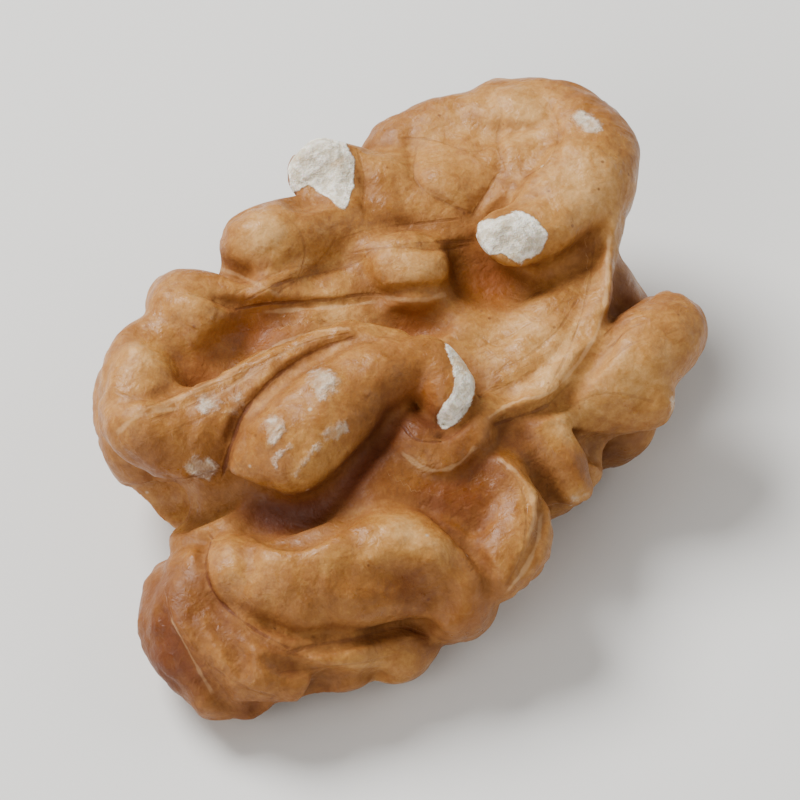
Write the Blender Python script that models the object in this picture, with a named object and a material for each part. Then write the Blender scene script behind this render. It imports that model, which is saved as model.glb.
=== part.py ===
"""Half of a walnut kernel as one solid, lying on its rounded side with the open inner face up.

Each fold is a closed tube laid along a few points, the thick middle is two flattened balls.
They are joined into one skin, the hollows are cut out of it, and the finished form is fitted
to its length, width and height and cut flat where it rests.
"""
import math

import bmesh
import bpy
from mathutils import Matrix, Vector

MM = 0.001

# Overall size in millimetres, X long, Y across, Z up.
LENGTH = 36.0
WIDTH = 27.0
HEIGHT = 13.0

# How far the three low points reach below the table before they are cut flat.
FOOT_CUT = 0.22

# Fineness of the joined skin, and how many triangles it is brought down to.
SKIN_VOXEL = 0.40
HOLLOW_VOXEL = 0.30
SKIN_SMOOTHING = 2
FINAL_SMOOTHING = 2
SMOOTHING_FACTOR = 0.5
TRIANGLES = 9600

# Tubes: sides round, steps between two points, and angles of the rings that round off an end.
TUBE_SIDES = 16
TUBE_STEPS = 4
CAP_ANGLES = (30.0, 60.0)

# Balls: how often the starting shape is divided.
BALL_DIVISIONS = 4

# Skin of the kernel: light brown, slightly glossy, not metal.
SKIN_COLOUR = (0.43, 0.215, 0.085, 1.0)
SKIN_ROUGHNESS = 0.42
SKIN_METALLIC = 0.0

# The thick middle: centre and half sizes of two flattened balls.
MIDDLE_BALLS = (
    ((1.2, 1.0, 5.8), (13.8, 10.3, 3.8)),
    ((-3.9, -3.1, 4.7), (10.4, 7.2, 2.9)),
)

# Every fold below is a row of points (x, y, z, radius) in millimetres.
# Folds of the inner face, which lies upwards.
INNER_FOLDS = {
    # fills the plate that carries the inner face
    "plate": (
        (-10.4, 6.0, 7.0, 3.0), (-6.4, 5.8, 7.4, 2.8), (-1.7, 6.0, 7.6, 2.8),
        (3.8, 5.4, 7.6, 3.0), (9.9, 5.7, 7.8, 3.0), (13.5, 6.1, 7.8, 3.0),
    ),
    # the gently swollen field at the far right
    "field back": (
        (8.0, 11.2, 9.1, 2.3), (10.8, 10.4, 9.4, 2.5), (13.2, 8.9, 9.8, 2.5),
        (14.0, 5.9, 10.0, 2.5), (12.9, 4.3, 10.0, 2.4),
    ),
    "field front": (
        (5.3, 8.2, 9.1, 2.4), (8.0, 7.2, 9.4, 2.5), (11.1, 6.4, 9.6, 2.4),
    ),
    # the thick roll that turns back on itself like a hook
    "hook": (
        (13.3, 10.6, 9.8, 2.0), (15.3, 8.4, 10.2, 2.3), (15.4, 5.5, 10.6, 2.6),
        (14.0, 3.5, 10.6, 2.6), (11.9, 2.4, 10.7, 2.3), (9.7, 2.0, 11.0, 1.9),
        (8.3, 2.0, 11.3, 1.8),
    ),
    # the short column with a broken top on the far rim
    "column": (
        (6.1, 9.0, 9.6, 2.1), (4.6, 9.8, 10.2, 2.0), (3.1, 11.0, 11.1, 1.9),
    ),
    # the knob left of the column
    "knob": (
        (4.1, 7.8, 9.2, 2.1), (1.5, 8.3, 10.1, 2.1), (-0.6, 8.7, 10.5, 2.2),
        (-2.0, 8.9, 10.5, 2.1),
    ),
    # the thin rolled rim that winds round the knob
    "rolled rim": (
        (-6.9, 8.9, 10.1, 1.3), (-5.8, 8.0, 10.3, 1.1), (-4.8, 6.9, 10.3, 1.0),
        (-3.4, 6.3, 10.2, 1.0), (-2.0, 6.6, 10.1, 1.2), (-0.5, 7.5, 10.0, 1.3),
    ),
    "shoulder": (
        (-7.0, 9.0, 9.2, 1.7), (-7.4, 7.3, 9.6, 2.1), (-6.3, 6.6, 9.2, 1.9),
    ),
    # the left end, from the shoulder round to the front
    "left end": (
        (-8.3, 6.9, 8.7, 2.1), (-10.4, 6.4, 9.2, 2.2), (-11.6, 5.1, 9.1, 2.0),
        (-12.5, 3.5, 9.0, 2.1), (-12.0, 2.2, 8.7, 2.0),
    ),
    # the long narrow ridge that borders the valley in front
    "ridge": (
        (-11.7, 3.5, 9.6, 1.3), (-10.1, 2.8, 10.2, 1.1), (-7.6, 2.5, 10.7, 1.0),
        (-4.9, 2.1, 11.0, 0.9), (-2.0, 1.5, 10.9, 0.9), (0.2, -0.1, 10.5, 0.8),
    ),
    "ridge foot": (
        (-12.1, 2.0, 8.9, 1.6), (-10.5, 1.3, 9.1, 1.9), (-8.7, 1.3, 9.4, 1.9),
        (-6.6, 1.8, 9.7, 1.8), (-4.2, 1.8, 9.7, 1.5),
    ),
    "ridge heel": (
        (-11.3, 1.0, 8.3, 1.5), (-10.1, 0.4, 8.1, 1.5),
    ),
    # the large front bulge with its narrowing neck
    "front bulge": (
        (-8.6, -1.4, 8.6, 2.0), (-7.0, -2.1, 9.1, 2.6), (-4.7, -1.7, 9.8, 2.5),
        (-2.2, -1.4, 10.3, 2.0), (-0.4, -1.8, 10.5, 1.7), (0.7, -2.5, 10.5, 1.5),
        (0.7, -4.2, 10.2, 1.4),
    ),
    # the fold wrapped round the end of the neck
    "wrap": (
        (-1.7, -3.1, 8.9, 1.1), (-1.8, -4.6, 8.6, 1.2), (-0.9, -6.0, 8.6, 1.2),
        (0.6, -6.1, 8.9, 1.1), (2.3, -4.9, 9.2, 0.9), (3.3, -3.0, 9.4, 0.7),
    ),
    # the flat papery wall at the right and its thin edge
    "wall": (
        (4.6, -3.7, 7.4, 1.7), (7.5, -2.7, 8.0, 1.9), (10.3, -0.6, 8.3, 1.9),
        (12.3, 1.7, 8.7, 2.0),
    ),
    "wall edge": (
        (13.5, 1.1, 10.0, 0.7), (12.2, -0.9, 9.8, 0.6), (10.5, -2.9, 9.6, 0.6),
        (8.3, -4.5, 9.2, 0.6), (5.4, -5.7, 8.9, 0.6), (3.2, -5.9, 8.7, 0.7),
    ),
    # the pad in the middle
    "pad": (
        (2.5, 6.1, 9.6, 1.6), (3.1, 4.3, 9.9, 1.7), (4.3, 3.4, 10.0, 1.7),
        (6.2, 4.1, 9.8, 1.6),
    ),
}

# Folds of the rounded side that show below the inner face, at the front and at the right.
FRONT_FOLDS = {
    "large front fold": (
        (-12.0, -5.5, 5.7, 2.5), (-10.4, -6.9, 5.9, 2.9), (-8.0, -8.2, 6.1, 3.0),
        (-5.4, -9.2, 6.1, 2.9), (-3.8, -10.4, 5.4, 2.4), (-3.9, -11.6, 4.6, 2.0),
    ),
    "lower front fold": (
        (-14.1, -3.8, 5.0, 1.7), (-15.1, -5.5, 4.4, 2.0), (-14.4, -8.0, 4.0, 2.1),
        (-12.6, -9.8, 3.8, 1.9), (-9.9, -10.7, 3.6, 1.7),
    ),
    "lowest front fold": (
        (-14.6, -3.0, 3.5, 1.8), (-15.9, -5.1, 3.1, 1.9), (-15.7, -7.6, 2.9, 1.9),
        (-14.5, -9.2, 2.7, 1.7),
    ),
    "front foot": (
        (-9.9, -10.6, 3.2, 1.7), (-8.3, -10.9, 2.8, 1.3), (-6.8, -11.3, 2.7, 1.8),
        (-5.1, -11.2, 3.0, 1.2), (-3.4, -11.6, 3.4, 1.6), (-2.4, -11.4, 4.0, 1.2),
    ),
    "cup": (
        (-2.2, -5.7, 5.2, 2.4), (-0.7, -8.0, 5.0, 2.4),
    ),
    "cup edge": (
        (-2.3, -5.3, 7.2, 1.0), (-0.2, -6.3, 7.6, 1.1), (1.1, -8.0, 7.6, 1.2),
        (1.0, -10.0, 7.0, 1.2), (-0.2, -11.4, 6.3, 1.2), (-1.8, -11.7, 5.7, 1.3),
    ),
    "small finger": (
        (3.9, -6.4, 7.4, 1.7), (4.2, -8.4, 6.8, 1.5), (4.5, -9.6, 6.3, 1.2),
    ),
    "right lobe": (
        (7.7, -5.2, 7.2, 2.2), (10.0, -5.7, 7.6, 2.4), (12.3, -5.4, 7.8, 2.3),
        (13.3, -5.1, 7.8, 2.1),
    ),
    "right lobe underside": (
        (8.2, -6.3, 6.8, 1.6), (10.3, -7.6, 6.7, 1.5),
    ),
}

# Folds of the far side and the ends, each from the rim down to the furrow underneath.
SIDE_FOLDS = (
    ((14.0, 6.8, 8.0, 2.0), (14.0, 7.8, 5.7, 2.2), (12.2, 8.5, 3.8, 2.1), (10.4, 7.0, 2.5, 1.9),
     (8.9, 5.4, 2.1, 1.6), (9.3, 3.6, 2.0, 1.4)),
    ((9.9, 9.6, 7.4, 2.1), (8.6, 10.5, 5.2, 2.2), (6.8, 9.8, 3.3, 2.1), (6.4, 7.6, 2.4, 1.9),
     (5.2, 5.6, 2.1, 1.7), (5.6, 3.6, 1.9, 1.4)),
    ((4.9, 10.7, 7.0, 2.0), (4.0, 10.9, 4.6, 2.1), (2.2, 9.8, 3.2, 2.0), (2.4, 7.6, 2.3, 1.9),
     (1.2, 5.6, 2.0, 1.7), (1.8, 3.4, 1.8, 1.4)),
    ((-0.4, 10.5, 6.8, 1.9), (-1.5, 9.9, 4.6, 2.2), (-1.3, 8.5, 2.9, 2.1), (-2.6, 6.8, 2.2, 1.8),
     (-2.4, 5.0, 2.0, 1.6), (-1.5, 3.4, 1.8, 1.4)),
    ((-5.4, 9.1, 6.7, 2.0), (-6.3, 8.5, 4.4, 2.1), (-5.4, 7.4, 2.9, 1.9), (-6.5, 5.9, 2.2, 1.7),
     (-5.6, 4.6, 1.9, 1.5), (-5.0, 3.2, 1.8, 1.4)),
    ((-10.0, 7.2, 6.8, 1.9), (-10.8, 5.9, 4.6, 2.1), (-10.0, 4.8, 3.0, 1.9), (-8.6, 3.8, 2.2, 1.7)),
    ((-12.2, 4.4, 6.5, 1.8), (-11.8, 3.4, 4.6, 1.9), (-10.8, 2.0, 3.0, 1.9), (-9.0, 1.2, 2.1, 1.6),
     (-7.4, 1.4, 1.9, 1.4)),
    ((-10.8, -0.9, 4.6, 1.8), (-10.6, -1.6, 3.3, 1.8), (-9.8, -1.2, 2.4, 1.8),
     (-7.4, -1.4, 2.0, 1.5), (-6.0, -0.6, 1.9, 1.4)),
    ((12.8, 3.7, 7.2, 2.0), (13.2, 3.0, 4.8, 2.2), (12.0, 3.7, 3.0, 2.0), (11.2, 2.2, 2.4, 1.7)),
    ((12.5, -0.6, 6.7, 1.9), (12.6, -1.5, 4.4, 2.1), (11.2, -0.7, 2.8, 1.9), (8.8, -0.9, 2.1, 1.7),
     (7.4, -0.2, 1.9, 1.4)),
    ((10.5, -4.8, 5.6, 1.9), (9.9, -5.4, 3.5, 2.0), (8.3, -4.1, 2.3, 1.9), (6.2, -2.8, 2.0, 1.7),
     (4.8, -0.8, 1.9, 1.4)),
    ((5.9, -7.4, 5.0, 1.9), (4.9, -7.0, 3.1, 2.0), (4.4, -4.8, 2.2, 1.8), (2.6, -3.2, 1.9, 1.6),
     (1.8, -0.8, 1.8, 1.4)),
    ((0.1, -8.5, 4.1, 1.9), (0.1, -7.2, 2.6, 1.9), (0.4, -5.0, 2.1, 1.7), (-1.0, -2.8, 1.9, 1.6),
     (-1.4, -0.6, 1.8, 1.4)),
    ((-4.5, -9.1, 3.1, 1.9), (-4.1, -7.2, 2.3, 1.8), (-3.3, -5.2, 2.0, 1.6), (-4.5, -3.0, 1.9, 1.5),
     (-4.3, -0.6, 1.8, 1.4)),
    ((-9.1, -7.8, 2.6, 1.8), (-8.2, -5.9, 2.2, 1.7), (-7.2, -4.0, 1.9, 1.5), (-7.4, -2.9, 1.9, 1.4)),
)

# The three low points it rests on: centre and radius of a ball each.
FEET = (
    ((8.6, -4.0, 2.3), 2.4),
    ((-9.6, -5.2, 2.3), 2.4),
    ((1.6, 8.4, 2.3), 2.4),
)

# Hollows cut into the skin, rows of points as above.
HOLLOWS = {
    # the deep valley between the knob, the left end and the ridge
    "valley": (
        (-10.8, 3.5, 10.5, 0.7), (-8.7, 4.0, 10.1, 1.2), (-6.3, 4.6, 9.4, 1.7),
        (-4.2, 4.9, 9.2, 1.9), (-2.7, 4.3, 9.8, 1.3), (-1.6, 3.5, 10.4, 0.8),
    ),
    "hollow below the pad": (
        (0.2, 3.8, 10.1, 0.8), (0.6, 2.0, 9.5, 1.3), (1.8, 0.8, 9.3, 1.5),
        (3.5, 0.3, 9.4, 1.4), (5.2, 0.7, 9.7, 1.2),
    ),
    "hollow below the hook": (
        (6.2, 2.2, 9.8, 1.2), (7.1, 0.7, 9.5, 1.6), (8.9, 0.0, 9.6, 1.2),
    ),
    # the gap between the inner face and the large front fold
    "front gap": (
        (-11.4, 0.2, 7.6, 0.6), (-10.4, -2.2, 7.6, 0.9), (-9.1, -4.1, 7.7, 1.0),
        (-7.1, -5.7, 7.8, 1.0), (-4.9, -5.6, 8.0, 1.1), (-2.9, -4.9, 8.0, 1.1),
        (-1.9, -6.6, 7.4, 1.1), (-1.1, -8.2, 6.8, 0.9),
    ),
    "front gap deep down": (
        (-10.8, -0.6, 6.4, 0.6), (-9.6, -1.8, 6.3, 0.9), (-8.3, -3.2, 6.3, 1.0),
        (-6.5, -4.7, 6.4, 1.0), (-4.3, -4.7, 6.5, 1.1), (-2.6, -4.4, 6.8, 1.1),
        (-1.4, -6.2, 6.4, 1.1),
    ),
    "crease below the large front fold": (
        (-13.1, -2.9, 6.2, 0.4), (-14.4, -5.4, 6.6, 0.5), (-14.3, -7.3, 6.1, 0.5),
        (-13.6, -9.0, 5.7, 0.5), (-12.4, -10.2, 5.4, 0.5), (-10.1, -11.1, 5.1, 0.5),
        (-7.4, -11.4, 4.8, 0.4),
    ),
    "crease behind the front bulge": (
        (-9.9, -0.9, 10.0, 0.4), (-8.7, 0.0, 10.6, 0.4), (-7.2, 0.4, 10.9, 0.4),
        (-5.3, 0.8, 11.1, 0.4), (-3.8, 0.8, 11.3, 0.4), (-2.2, 0.5, 11.4, 0.3),
    ),
    "crease inside the wrap": (
        (-2.1, -3.5, 10.2, 0.4), (-2.1, -4.5, 9.7, 0.4), (-1.7, -5.4, 9.6, 0.4),
        (-0.7, -5.9, 9.8, 0.4), (0.5, -5.7, 10.1, 0.4), (1.7, -4.8, 10.4, 0.4),
    ),
    "gap beside the small finger": (
        (4.9, -7.6, 7.9, 0.5), (5.9, -8.4, 6.7, 0.7), (6.6, -8.8, 5.5, 0.8),
    ),
    # the furrow along the underside
    "furrow": (
        (-7.6, 2.7, 1.0, 0.8), (-4.8, 1.2, 0.8, 1.0), (-1.2, 1.4, 0.7, 1.0),
        (2.4, 1.3, 0.7, 1.0), (5.2, 1.6, 0.8, 1.0), (8.6, 1.4, 1.2, 0.8),
    ),
}

# Broken places, scooped out by a ball each: centre and radius.
BREAKS = (
    ((1.3, 9.8, 14.0), 2.4),
    ((6.6, -0.3, 14.1), 2.6),
)

# The slab under the table plane that makes the resting spots flat.
SLAB_SIZE = (60.0, 60.0, 4.0)


def smooth_path(points, steps):
    """Points and radii along a smooth curve that passes through every given point."""
    rows = [Vector(point) for point in points]
    rows = [2 * rows[0] - rows[1]] + rows + [2 * rows[-1] - rows[-2]]
    stations = []
    for index in range(1, len(rows) - 2):
        before, start, end, after = rows[index - 1:index + 3]
        for step in range(steps):
            t = step / steps
            stations.append(0.5 * (
                2 * start
                + (end - before) * t
                + (2 * before - 5 * start + 4 * end - after) * t ** 2
                + (3 * start - before - 3 * end + after) * t ** 3
            ))
    stations.append(rows[-2])
    return [(station.xyz * MM, station.w * MM) for station in stations]


def add_ring(mesh, centre, side, up, radius):
    """One ring of a tube, in the plane of side and up."""
    ring = []
    for index in range(TUBE_SIDES):
        angle = 2 * math.pi * index / TUBE_SIDES
        ring.append(mesh.verts.new(centre + radius * (math.cos(angle) * side + math.sin(angle) * up)))
    return ring


def add_fold(mesh, points):
    """A closed tube with rounded ends along a row of points."""
    stations = smooth_path(points, TUBE_STEPS)
    centres = [centre for centre, _ in stations]
    directions = []
    for index in range(len(centres)):
        ahead = centres[min(index + 1, len(centres) - 1)]
        behind = centres[max(index - 1, 0)]
        directions.append((ahead - behind).normalized())
    side = directions[0].orthogonal().normalized()
    rings = []
    first_centre, first_radius = stations[0]
    for angle in map(math.radians, CAP_ANGLES):
        up = directions[0].cross(side)
        centre = first_centre - directions[0] * first_radius * math.cos(angle)
        rings.append(add_ring(mesh, centre, side, up, first_radius * math.sin(angle)))
    for index, (centre, radius) in enumerate(stations):
        if index:
            turn = directions[index - 1].rotation_difference(directions[index])
            side = turn @ side
        up = directions[index].cross(side)
        rings.append(add_ring(mesh, centre, side, up, radius))
    last_centre, last_radius = stations[-1]
    for angle in map(math.radians, reversed(CAP_ANGLES)):
        up = directions[-1].cross(side)
        centre = last_centre + directions[-1] * last_radius * math.cos(angle)
        rings.append(add_ring(mesh, centre, side, up, last_radius * math.sin(angle)))
    for ring, following in zip(rings[:-1], rings[1:]):
        for index in range(TUBE_SIDES):
            after = (index + 1) % TUBE_SIDES
            mesh.faces.new((ring[index], ring[after], following[after], following[index]))
    first_tip = mesh.verts.new(first_centre - directions[0] * first_radius)
    last_tip = mesh.verts.new(last_centre + directions[-1] * last_radius)
    for index in range(TUBE_SIDES):
        after = (index + 1) % TUBE_SIDES
        mesh.faces.new((first_tip, rings[0][after], rings[0][index]))
        mesh.faces.new((last_tip, rings[-1][index], rings[-1][after]))


def add_ball(mesh, centre, half_sizes):
    """A closed ball, flattened to its three half sizes."""
    place = Matrix.Translation(Vector(centre) * MM)
    shape = Matrix.Diagonal((*[size * MM for size in half_sizes], 1.0))
    bmesh.ops.create_icosphere(mesh, subdivisions=BALL_DIVISIONS, radius=1.0, matrix=place @ shape)


def new_object(name, mesh):
    """Turn a finished bmesh into an object of the scene."""
    bmesh.ops.recalc_face_normals(mesh, faces=mesh.faces)
    data = bpy.data.meshes.new(name)
    mesh.to_mesh(data)
    mesh.free()
    thing = bpy.data.objects.new(name, data)
    bpy.context.scene.collection.objects.link(thing)
    return thing


def hide_cutter(cutter):
    """Keep a cutting shape out of the finished part."""
    cutter.hide_render = True
    cutter.display_type = 'WIRE'


def join_skin(thing, voxel):
    """Replace overlapping closed shapes by one even skin round all of them."""
    remesh = thing.modifiers.new("joined skin", 'REMESH')
    remesh.mode = 'VOXEL'
    remesh.voxel_size = voxel * MM
    remesh.adaptivity = 0.0


def soften(thing, rounds):
    """Even out the small steps of a joined skin."""
    smooth = thing.modifiers.new("softened", 'SMOOTH')
    smooth.factor = SMOOTHING_FACTOR
    smooth.iterations = rounds


def cut(thing, cutter):
    """Take the cutter's volume away."""
    boolean = thing.modifiers.new("cut by " + cutter.name, 'BOOLEAN')
    boolean.operation = 'DIFFERENCE'
    boolean.solver = 'EXACT'
    boolean.object = cutter


def bake(thing):
    """Put the result of all modifiers into the object's own mesh."""
    bpy.context.view_layer.update()
    graph = bpy.context.evaluated_depsgraph_get()
    finished = bpy.data.meshes.new_from_object(thing.evaluated_get(graph))
    thing.modifiers.clear()
    thing.data = finished
    finished.name = thing.name


def build_hollows():
    """The shape of all hollows together, as one cutter."""
    mesh = bmesh.new()
    for points in HOLLOWS.values():
        add_fold(mesh, points)
    for centre, radius in BREAKS:
        add_ball(mesh, centre, (radius, radius, radius))
    hollows = new_object("hollows", mesh)
    join_skin(hollows, HOLLOW_VOXEL)
    hide_cutter(hollows)
    return hollows


def build_slab():
    """The slab below the table plane."""
    mesh = bmesh.new()
    place = Matrix.Translation(Vector((0.0, 0.0, -SLAB_SIZE[2] / 2)) * MM)
    shape = Matrix.Diagonal((*[size * MM for size in SLAB_SIZE], 1.0))
    bmesh.ops.create_cube(mesh, size=1.0, matrix=place @ shape)
    slab = new_object("table slab", mesh)
    hide_cutter(slab)
    return slab


def fit_to_size(thing):
    """Scale to length, width and height, centred, with the low points just below the table."""
    corners = [vertex.co for vertex in thing.data.vertices]
    low = Vector([min(corner[axis] for corner in corners) for axis in range(3)])
    high = Vector([max(corner[axis] for corner in corners) for axis in range(3)])
    wanted = Vector((LENGTH, WIDTH, HEIGHT + FOOT_CUT)) * MM
    scale = [wanted[axis] / (high[axis] - low[axis]) for axis in range(3)]
    middle = (low + high) / 2
    lift = Matrix.Translation((0.0, 0.0, (HEIGHT - FOOT_CUT) / 2 * MM))
    thing.data.transform(lift @ Matrix.Diagonal((*scale, 1.0)) @ Matrix.Translation(-middle))


def skin_material():
    """Light brown skin of the kernel."""
    material = bpy.data.materials.new("kernel skin")
    material.use_nodes = True
    shader = material.node_tree.nodes["Principled BSDF"]
    shader.inputs["Base Color"].default_value = SKIN_COLOUR
    shader.inputs["Roughness"].default_value = SKIN_ROUGHNESS
    shader.inputs["Metallic"].default_value = SKIN_METALLIC
    return material


def build_kernel():
    """Join all folds, cut the hollows, fit to size and rest it on three flat spots."""
    mesh = bmesh.new()
    for centre, half_sizes in MIDDLE_BALLS:
        add_ball(mesh, centre, half_sizes)
    for centre, radius in FEET:
        add_ball(mesh, centre, (radius, radius, radius))
    for points in (*INNER_FOLDS.values(), *FRONT_FOLDS.values(), *SIDE_FOLDS):
        add_fold(mesh, points)
    kernel = new_object("kernel", mesh)
    join_skin(kernel, SKIN_VOXEL)
    soften(kernel, SKIN_SMOOTHING)
    cut(kernel, build_hollows())
    join_skin(kernel, SKIN_VOXEL)
    soften(kernel, FINAL_SMOOTHING)
    bake(kernel)
    faces = sum(len(face.vertices) - 2 for face in kernel.data.polygons)
    thin_out = kernel.modifiers.new("thinned out", 'DECIMATE')
    thin_out.ratio = TRIANGLES / faces
    thin_out.use_collapse_triangulate = True
    bake(kernel)
    fit_to_size(kernel)
    cut(kernel, build_slab())
    bake(kernel)
    for face in kernel.data.polygons:
        face.use_smooth = True
    kernel.data.materials.clear()
    kernel.data.materials.append(skin_material())


def main():
    """Clear the scene and build the kernel."""
    for thing in list(bpy.data.objects):
        bpy.data.objects.remove(thing, do_unlink=True)
    build_kernel()


main()
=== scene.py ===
"""A walnut kernel half on a pale floor, seen on its hollowed inner face."""
import logging
import math
from dataclasses import dataclass, field
from enum import Enum

import bpy
import numpy as np
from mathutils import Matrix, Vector
from mathutils.bvhtree import BVHTree


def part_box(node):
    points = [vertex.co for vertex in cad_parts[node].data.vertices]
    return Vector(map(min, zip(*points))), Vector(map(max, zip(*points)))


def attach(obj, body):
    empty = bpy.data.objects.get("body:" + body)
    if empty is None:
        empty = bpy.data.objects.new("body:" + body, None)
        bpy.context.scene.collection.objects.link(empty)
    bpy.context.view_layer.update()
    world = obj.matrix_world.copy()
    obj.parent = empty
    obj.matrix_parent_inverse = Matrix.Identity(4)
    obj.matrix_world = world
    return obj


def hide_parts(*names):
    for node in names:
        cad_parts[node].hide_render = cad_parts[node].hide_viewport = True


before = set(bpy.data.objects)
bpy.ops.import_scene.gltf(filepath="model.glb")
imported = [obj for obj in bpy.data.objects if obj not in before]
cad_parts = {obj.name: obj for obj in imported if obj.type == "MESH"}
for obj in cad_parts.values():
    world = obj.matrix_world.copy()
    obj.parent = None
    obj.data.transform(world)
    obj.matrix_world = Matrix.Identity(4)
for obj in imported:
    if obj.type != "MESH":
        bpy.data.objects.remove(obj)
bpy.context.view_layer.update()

MM = 0.001
TINY = 1e-9
# Large odd numbers that scatter grid points, those that stir the result, and the bits that are kept.
SCATTER = (73856093, 19349663, 83492791, 2654435761)
STIR = (1274126177, 2246822519)
KEPT_BITS = 0xFFFFFFFF
NODE = "kernel"
BODY = "root"

Row = tuple[float, float, float, float]
Place = tuple[float, float, float]
Spot = tuple[float, float]
Paint = tuple[float, float, float, float]
Socket = bpy.types.NodeSocket

log = logging.getLogger("walnut")


# ---------------------------------------------------------------- the folds of the kernel
@dataclass(frozen=True)
class Fold:
    """A rounded fold, or a hollow of that shape, along points (x, y, z, radius) in millimetres."""

    name: str
    blend: float
    points: tuple[Row, ...]
    knuckles: float = 0.0
    steps: int = 5


@dataclass(frozen=True)
class Ball:
    """A ball flattened to its half sizes, in millimetres."""

    centre: Place
    half_sizes: Place
    blend: float


MIDDLE = (
    Ball((1.2, 1.0, 5.8), (13.8, 10.3, 3.8), 0.9),
    Ball((-3.9, -3.1, 4.7), (10.4, 7.2, 2.9), 1.6),
)

FEET = tuple(
    Ball(centre, (2.4, 2.4, 2.4), 0.4) for centre in ((8.6, -4.0, 2.3), (-9.6, -5.2, 2.3), (1.6, 8.4, 2.3))
)

BREAKS = (
    Ball((1.3, 9.8, 14.0), (2.4, 2.4, 2.4), 0.1),
    Ball((6.6, -0.3, 14.1), (2.6, 2.6, 2.6), 0.1),
)

SIDE_FOLDS = tuple(
    Fold("side fold", 0.42, points, 0.24) for points in (
        ((14, 6.8, 8, 2), (14, 7.8, 5.7, 2.2), (12.2, 8.5, 3.8, 2.1), (10.4, 7, 2.5, 1.9),
         (8.9, 5.4, 2.1, 1.6), (9.3, 3.6, 2, 1.4)),
        ((9.9, 9.6, 7.4, 2.1), (8.6, 10.5, 5.2, 2.2), (6.8, 9.8, 3.3, 2.1), (6.4, 7.6, 2.4, 1.9),
         (5.2, 5.6, 2.1, 1.7), (5.6, 3.6, 1.9, 1.4)),
        ((4.9, 10.7, 7, 2), (4, 10.9, 4.6, 2.1), (2.2, 9.8, 3.2, 2), (2.4, 7.6, 2.3, 1.9), (1.2, 5.6, 2, 1.7),
         (1.8, 3.4, 1.8, 1.4)),
        ((-0.4, 10.5, 6.8, 1.9), (-1.5, 9.9, 4.6, 2.2), (-1.3, 8.5, 2.9, 2.1), (-2.6, 6.8, 2.2, 1.8),
         (-2.4, 5, 2, 1.6), (-1.5, 3.4, 1.8, 1.4)),
        ((-5.4, 9.1, 6.7, 2), (-6.3, 8.5, 4.4, 2.1), (-5.4, 7.4, 2.9, 1.9), (-6.5, 5.9, 2.2, 1.7),
         (-5.6, 4.6, 1.9, 1.5), (-5, 3.2, 1.8, 1.4)),
        ((-10, 7.2, 6.8, 1.9), (-10.8, 5.9, 4.6, 2.1), (-10, 4.8, 3, 1.9), (-8.6, 3.8, 2.2, 1.7)),
        ((-12.2, 4.4, 6.5, 1.8), (-11.8, 3.4, 4.6, 1.9), (-10.8, 2, 3, 1.9), (-9, 1.2, 2.1, 1.6),
         (-7.4, 1.4, 1.9, 1.4)),
        ((-10.8, -0.9, 4.6, 1.8), (-10.6, -1.6, 3.3, 1.8), (-9.8, -1.2, 2.4, 1.8), (-7.4, -1.4, 2, 1.5),
         (-6, -0.6, 1.9, 1.4)),
        ((12.8, 3.7, 7.2, 2), (13.2, 3, 4.8, 2.2), (12, 3.7, 3, 2), (11.2, 2.2, 2.4, 1.7)),
        ((12.5, -0.6, 6.7, 1.9), (12.6, -1.5, 4.4, 2.1), (11.2, -0.7, 2.8, 1.9), (8.8, -0.9, 2.1, 1.7),
         (7.4, -0.2, 1.9, 1.4)),
        ((10.5, -4.8, 5.6, 1.9), (9.9, -5.4, 3.5, 2), (8.3, -4.1, 2.3, 1.9), (6.2, -2.8, 2, 1.7),
         (4.8, -0.8, 1.9, 1.4)),
        ((5.9, -7.4, 5, 1.9), (4.9, -7, 3.1, 2), (4.4, -4.8, 2.2, 1.8), (2.6, -3.2, 1.9, 1.6),
         (1.8, -0.8, 1.8, 1.4)),
        ((0.1, -8.5, 4.1, 1.9), (0.1, -7.2, 2.6, 1.9), (0.4, -5, 2.1, 1.7), (-1, -2.8, 1.9, 1.6),
         (-1.4, -0.6, 1.8, 1.4)),
        ((-4.5, -9.1, 3.1, 1.9), (-4.1, -7.2, 2.3, 1.8), (-3.3, -5.2, 2, 1.6), (-4.5, -3, 1.9, 1.5),
         (-4.3, -0.6, 1.8, 1.4)),
        ((-9.1, -7.8, 2.6, 1.8), (-8.2, -5.9, 2.2, 1.7), (-7.2, -4, 1.9, 1.5), (-7.4, -2.9, 1.9, 1.4)),
    )
)

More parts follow.
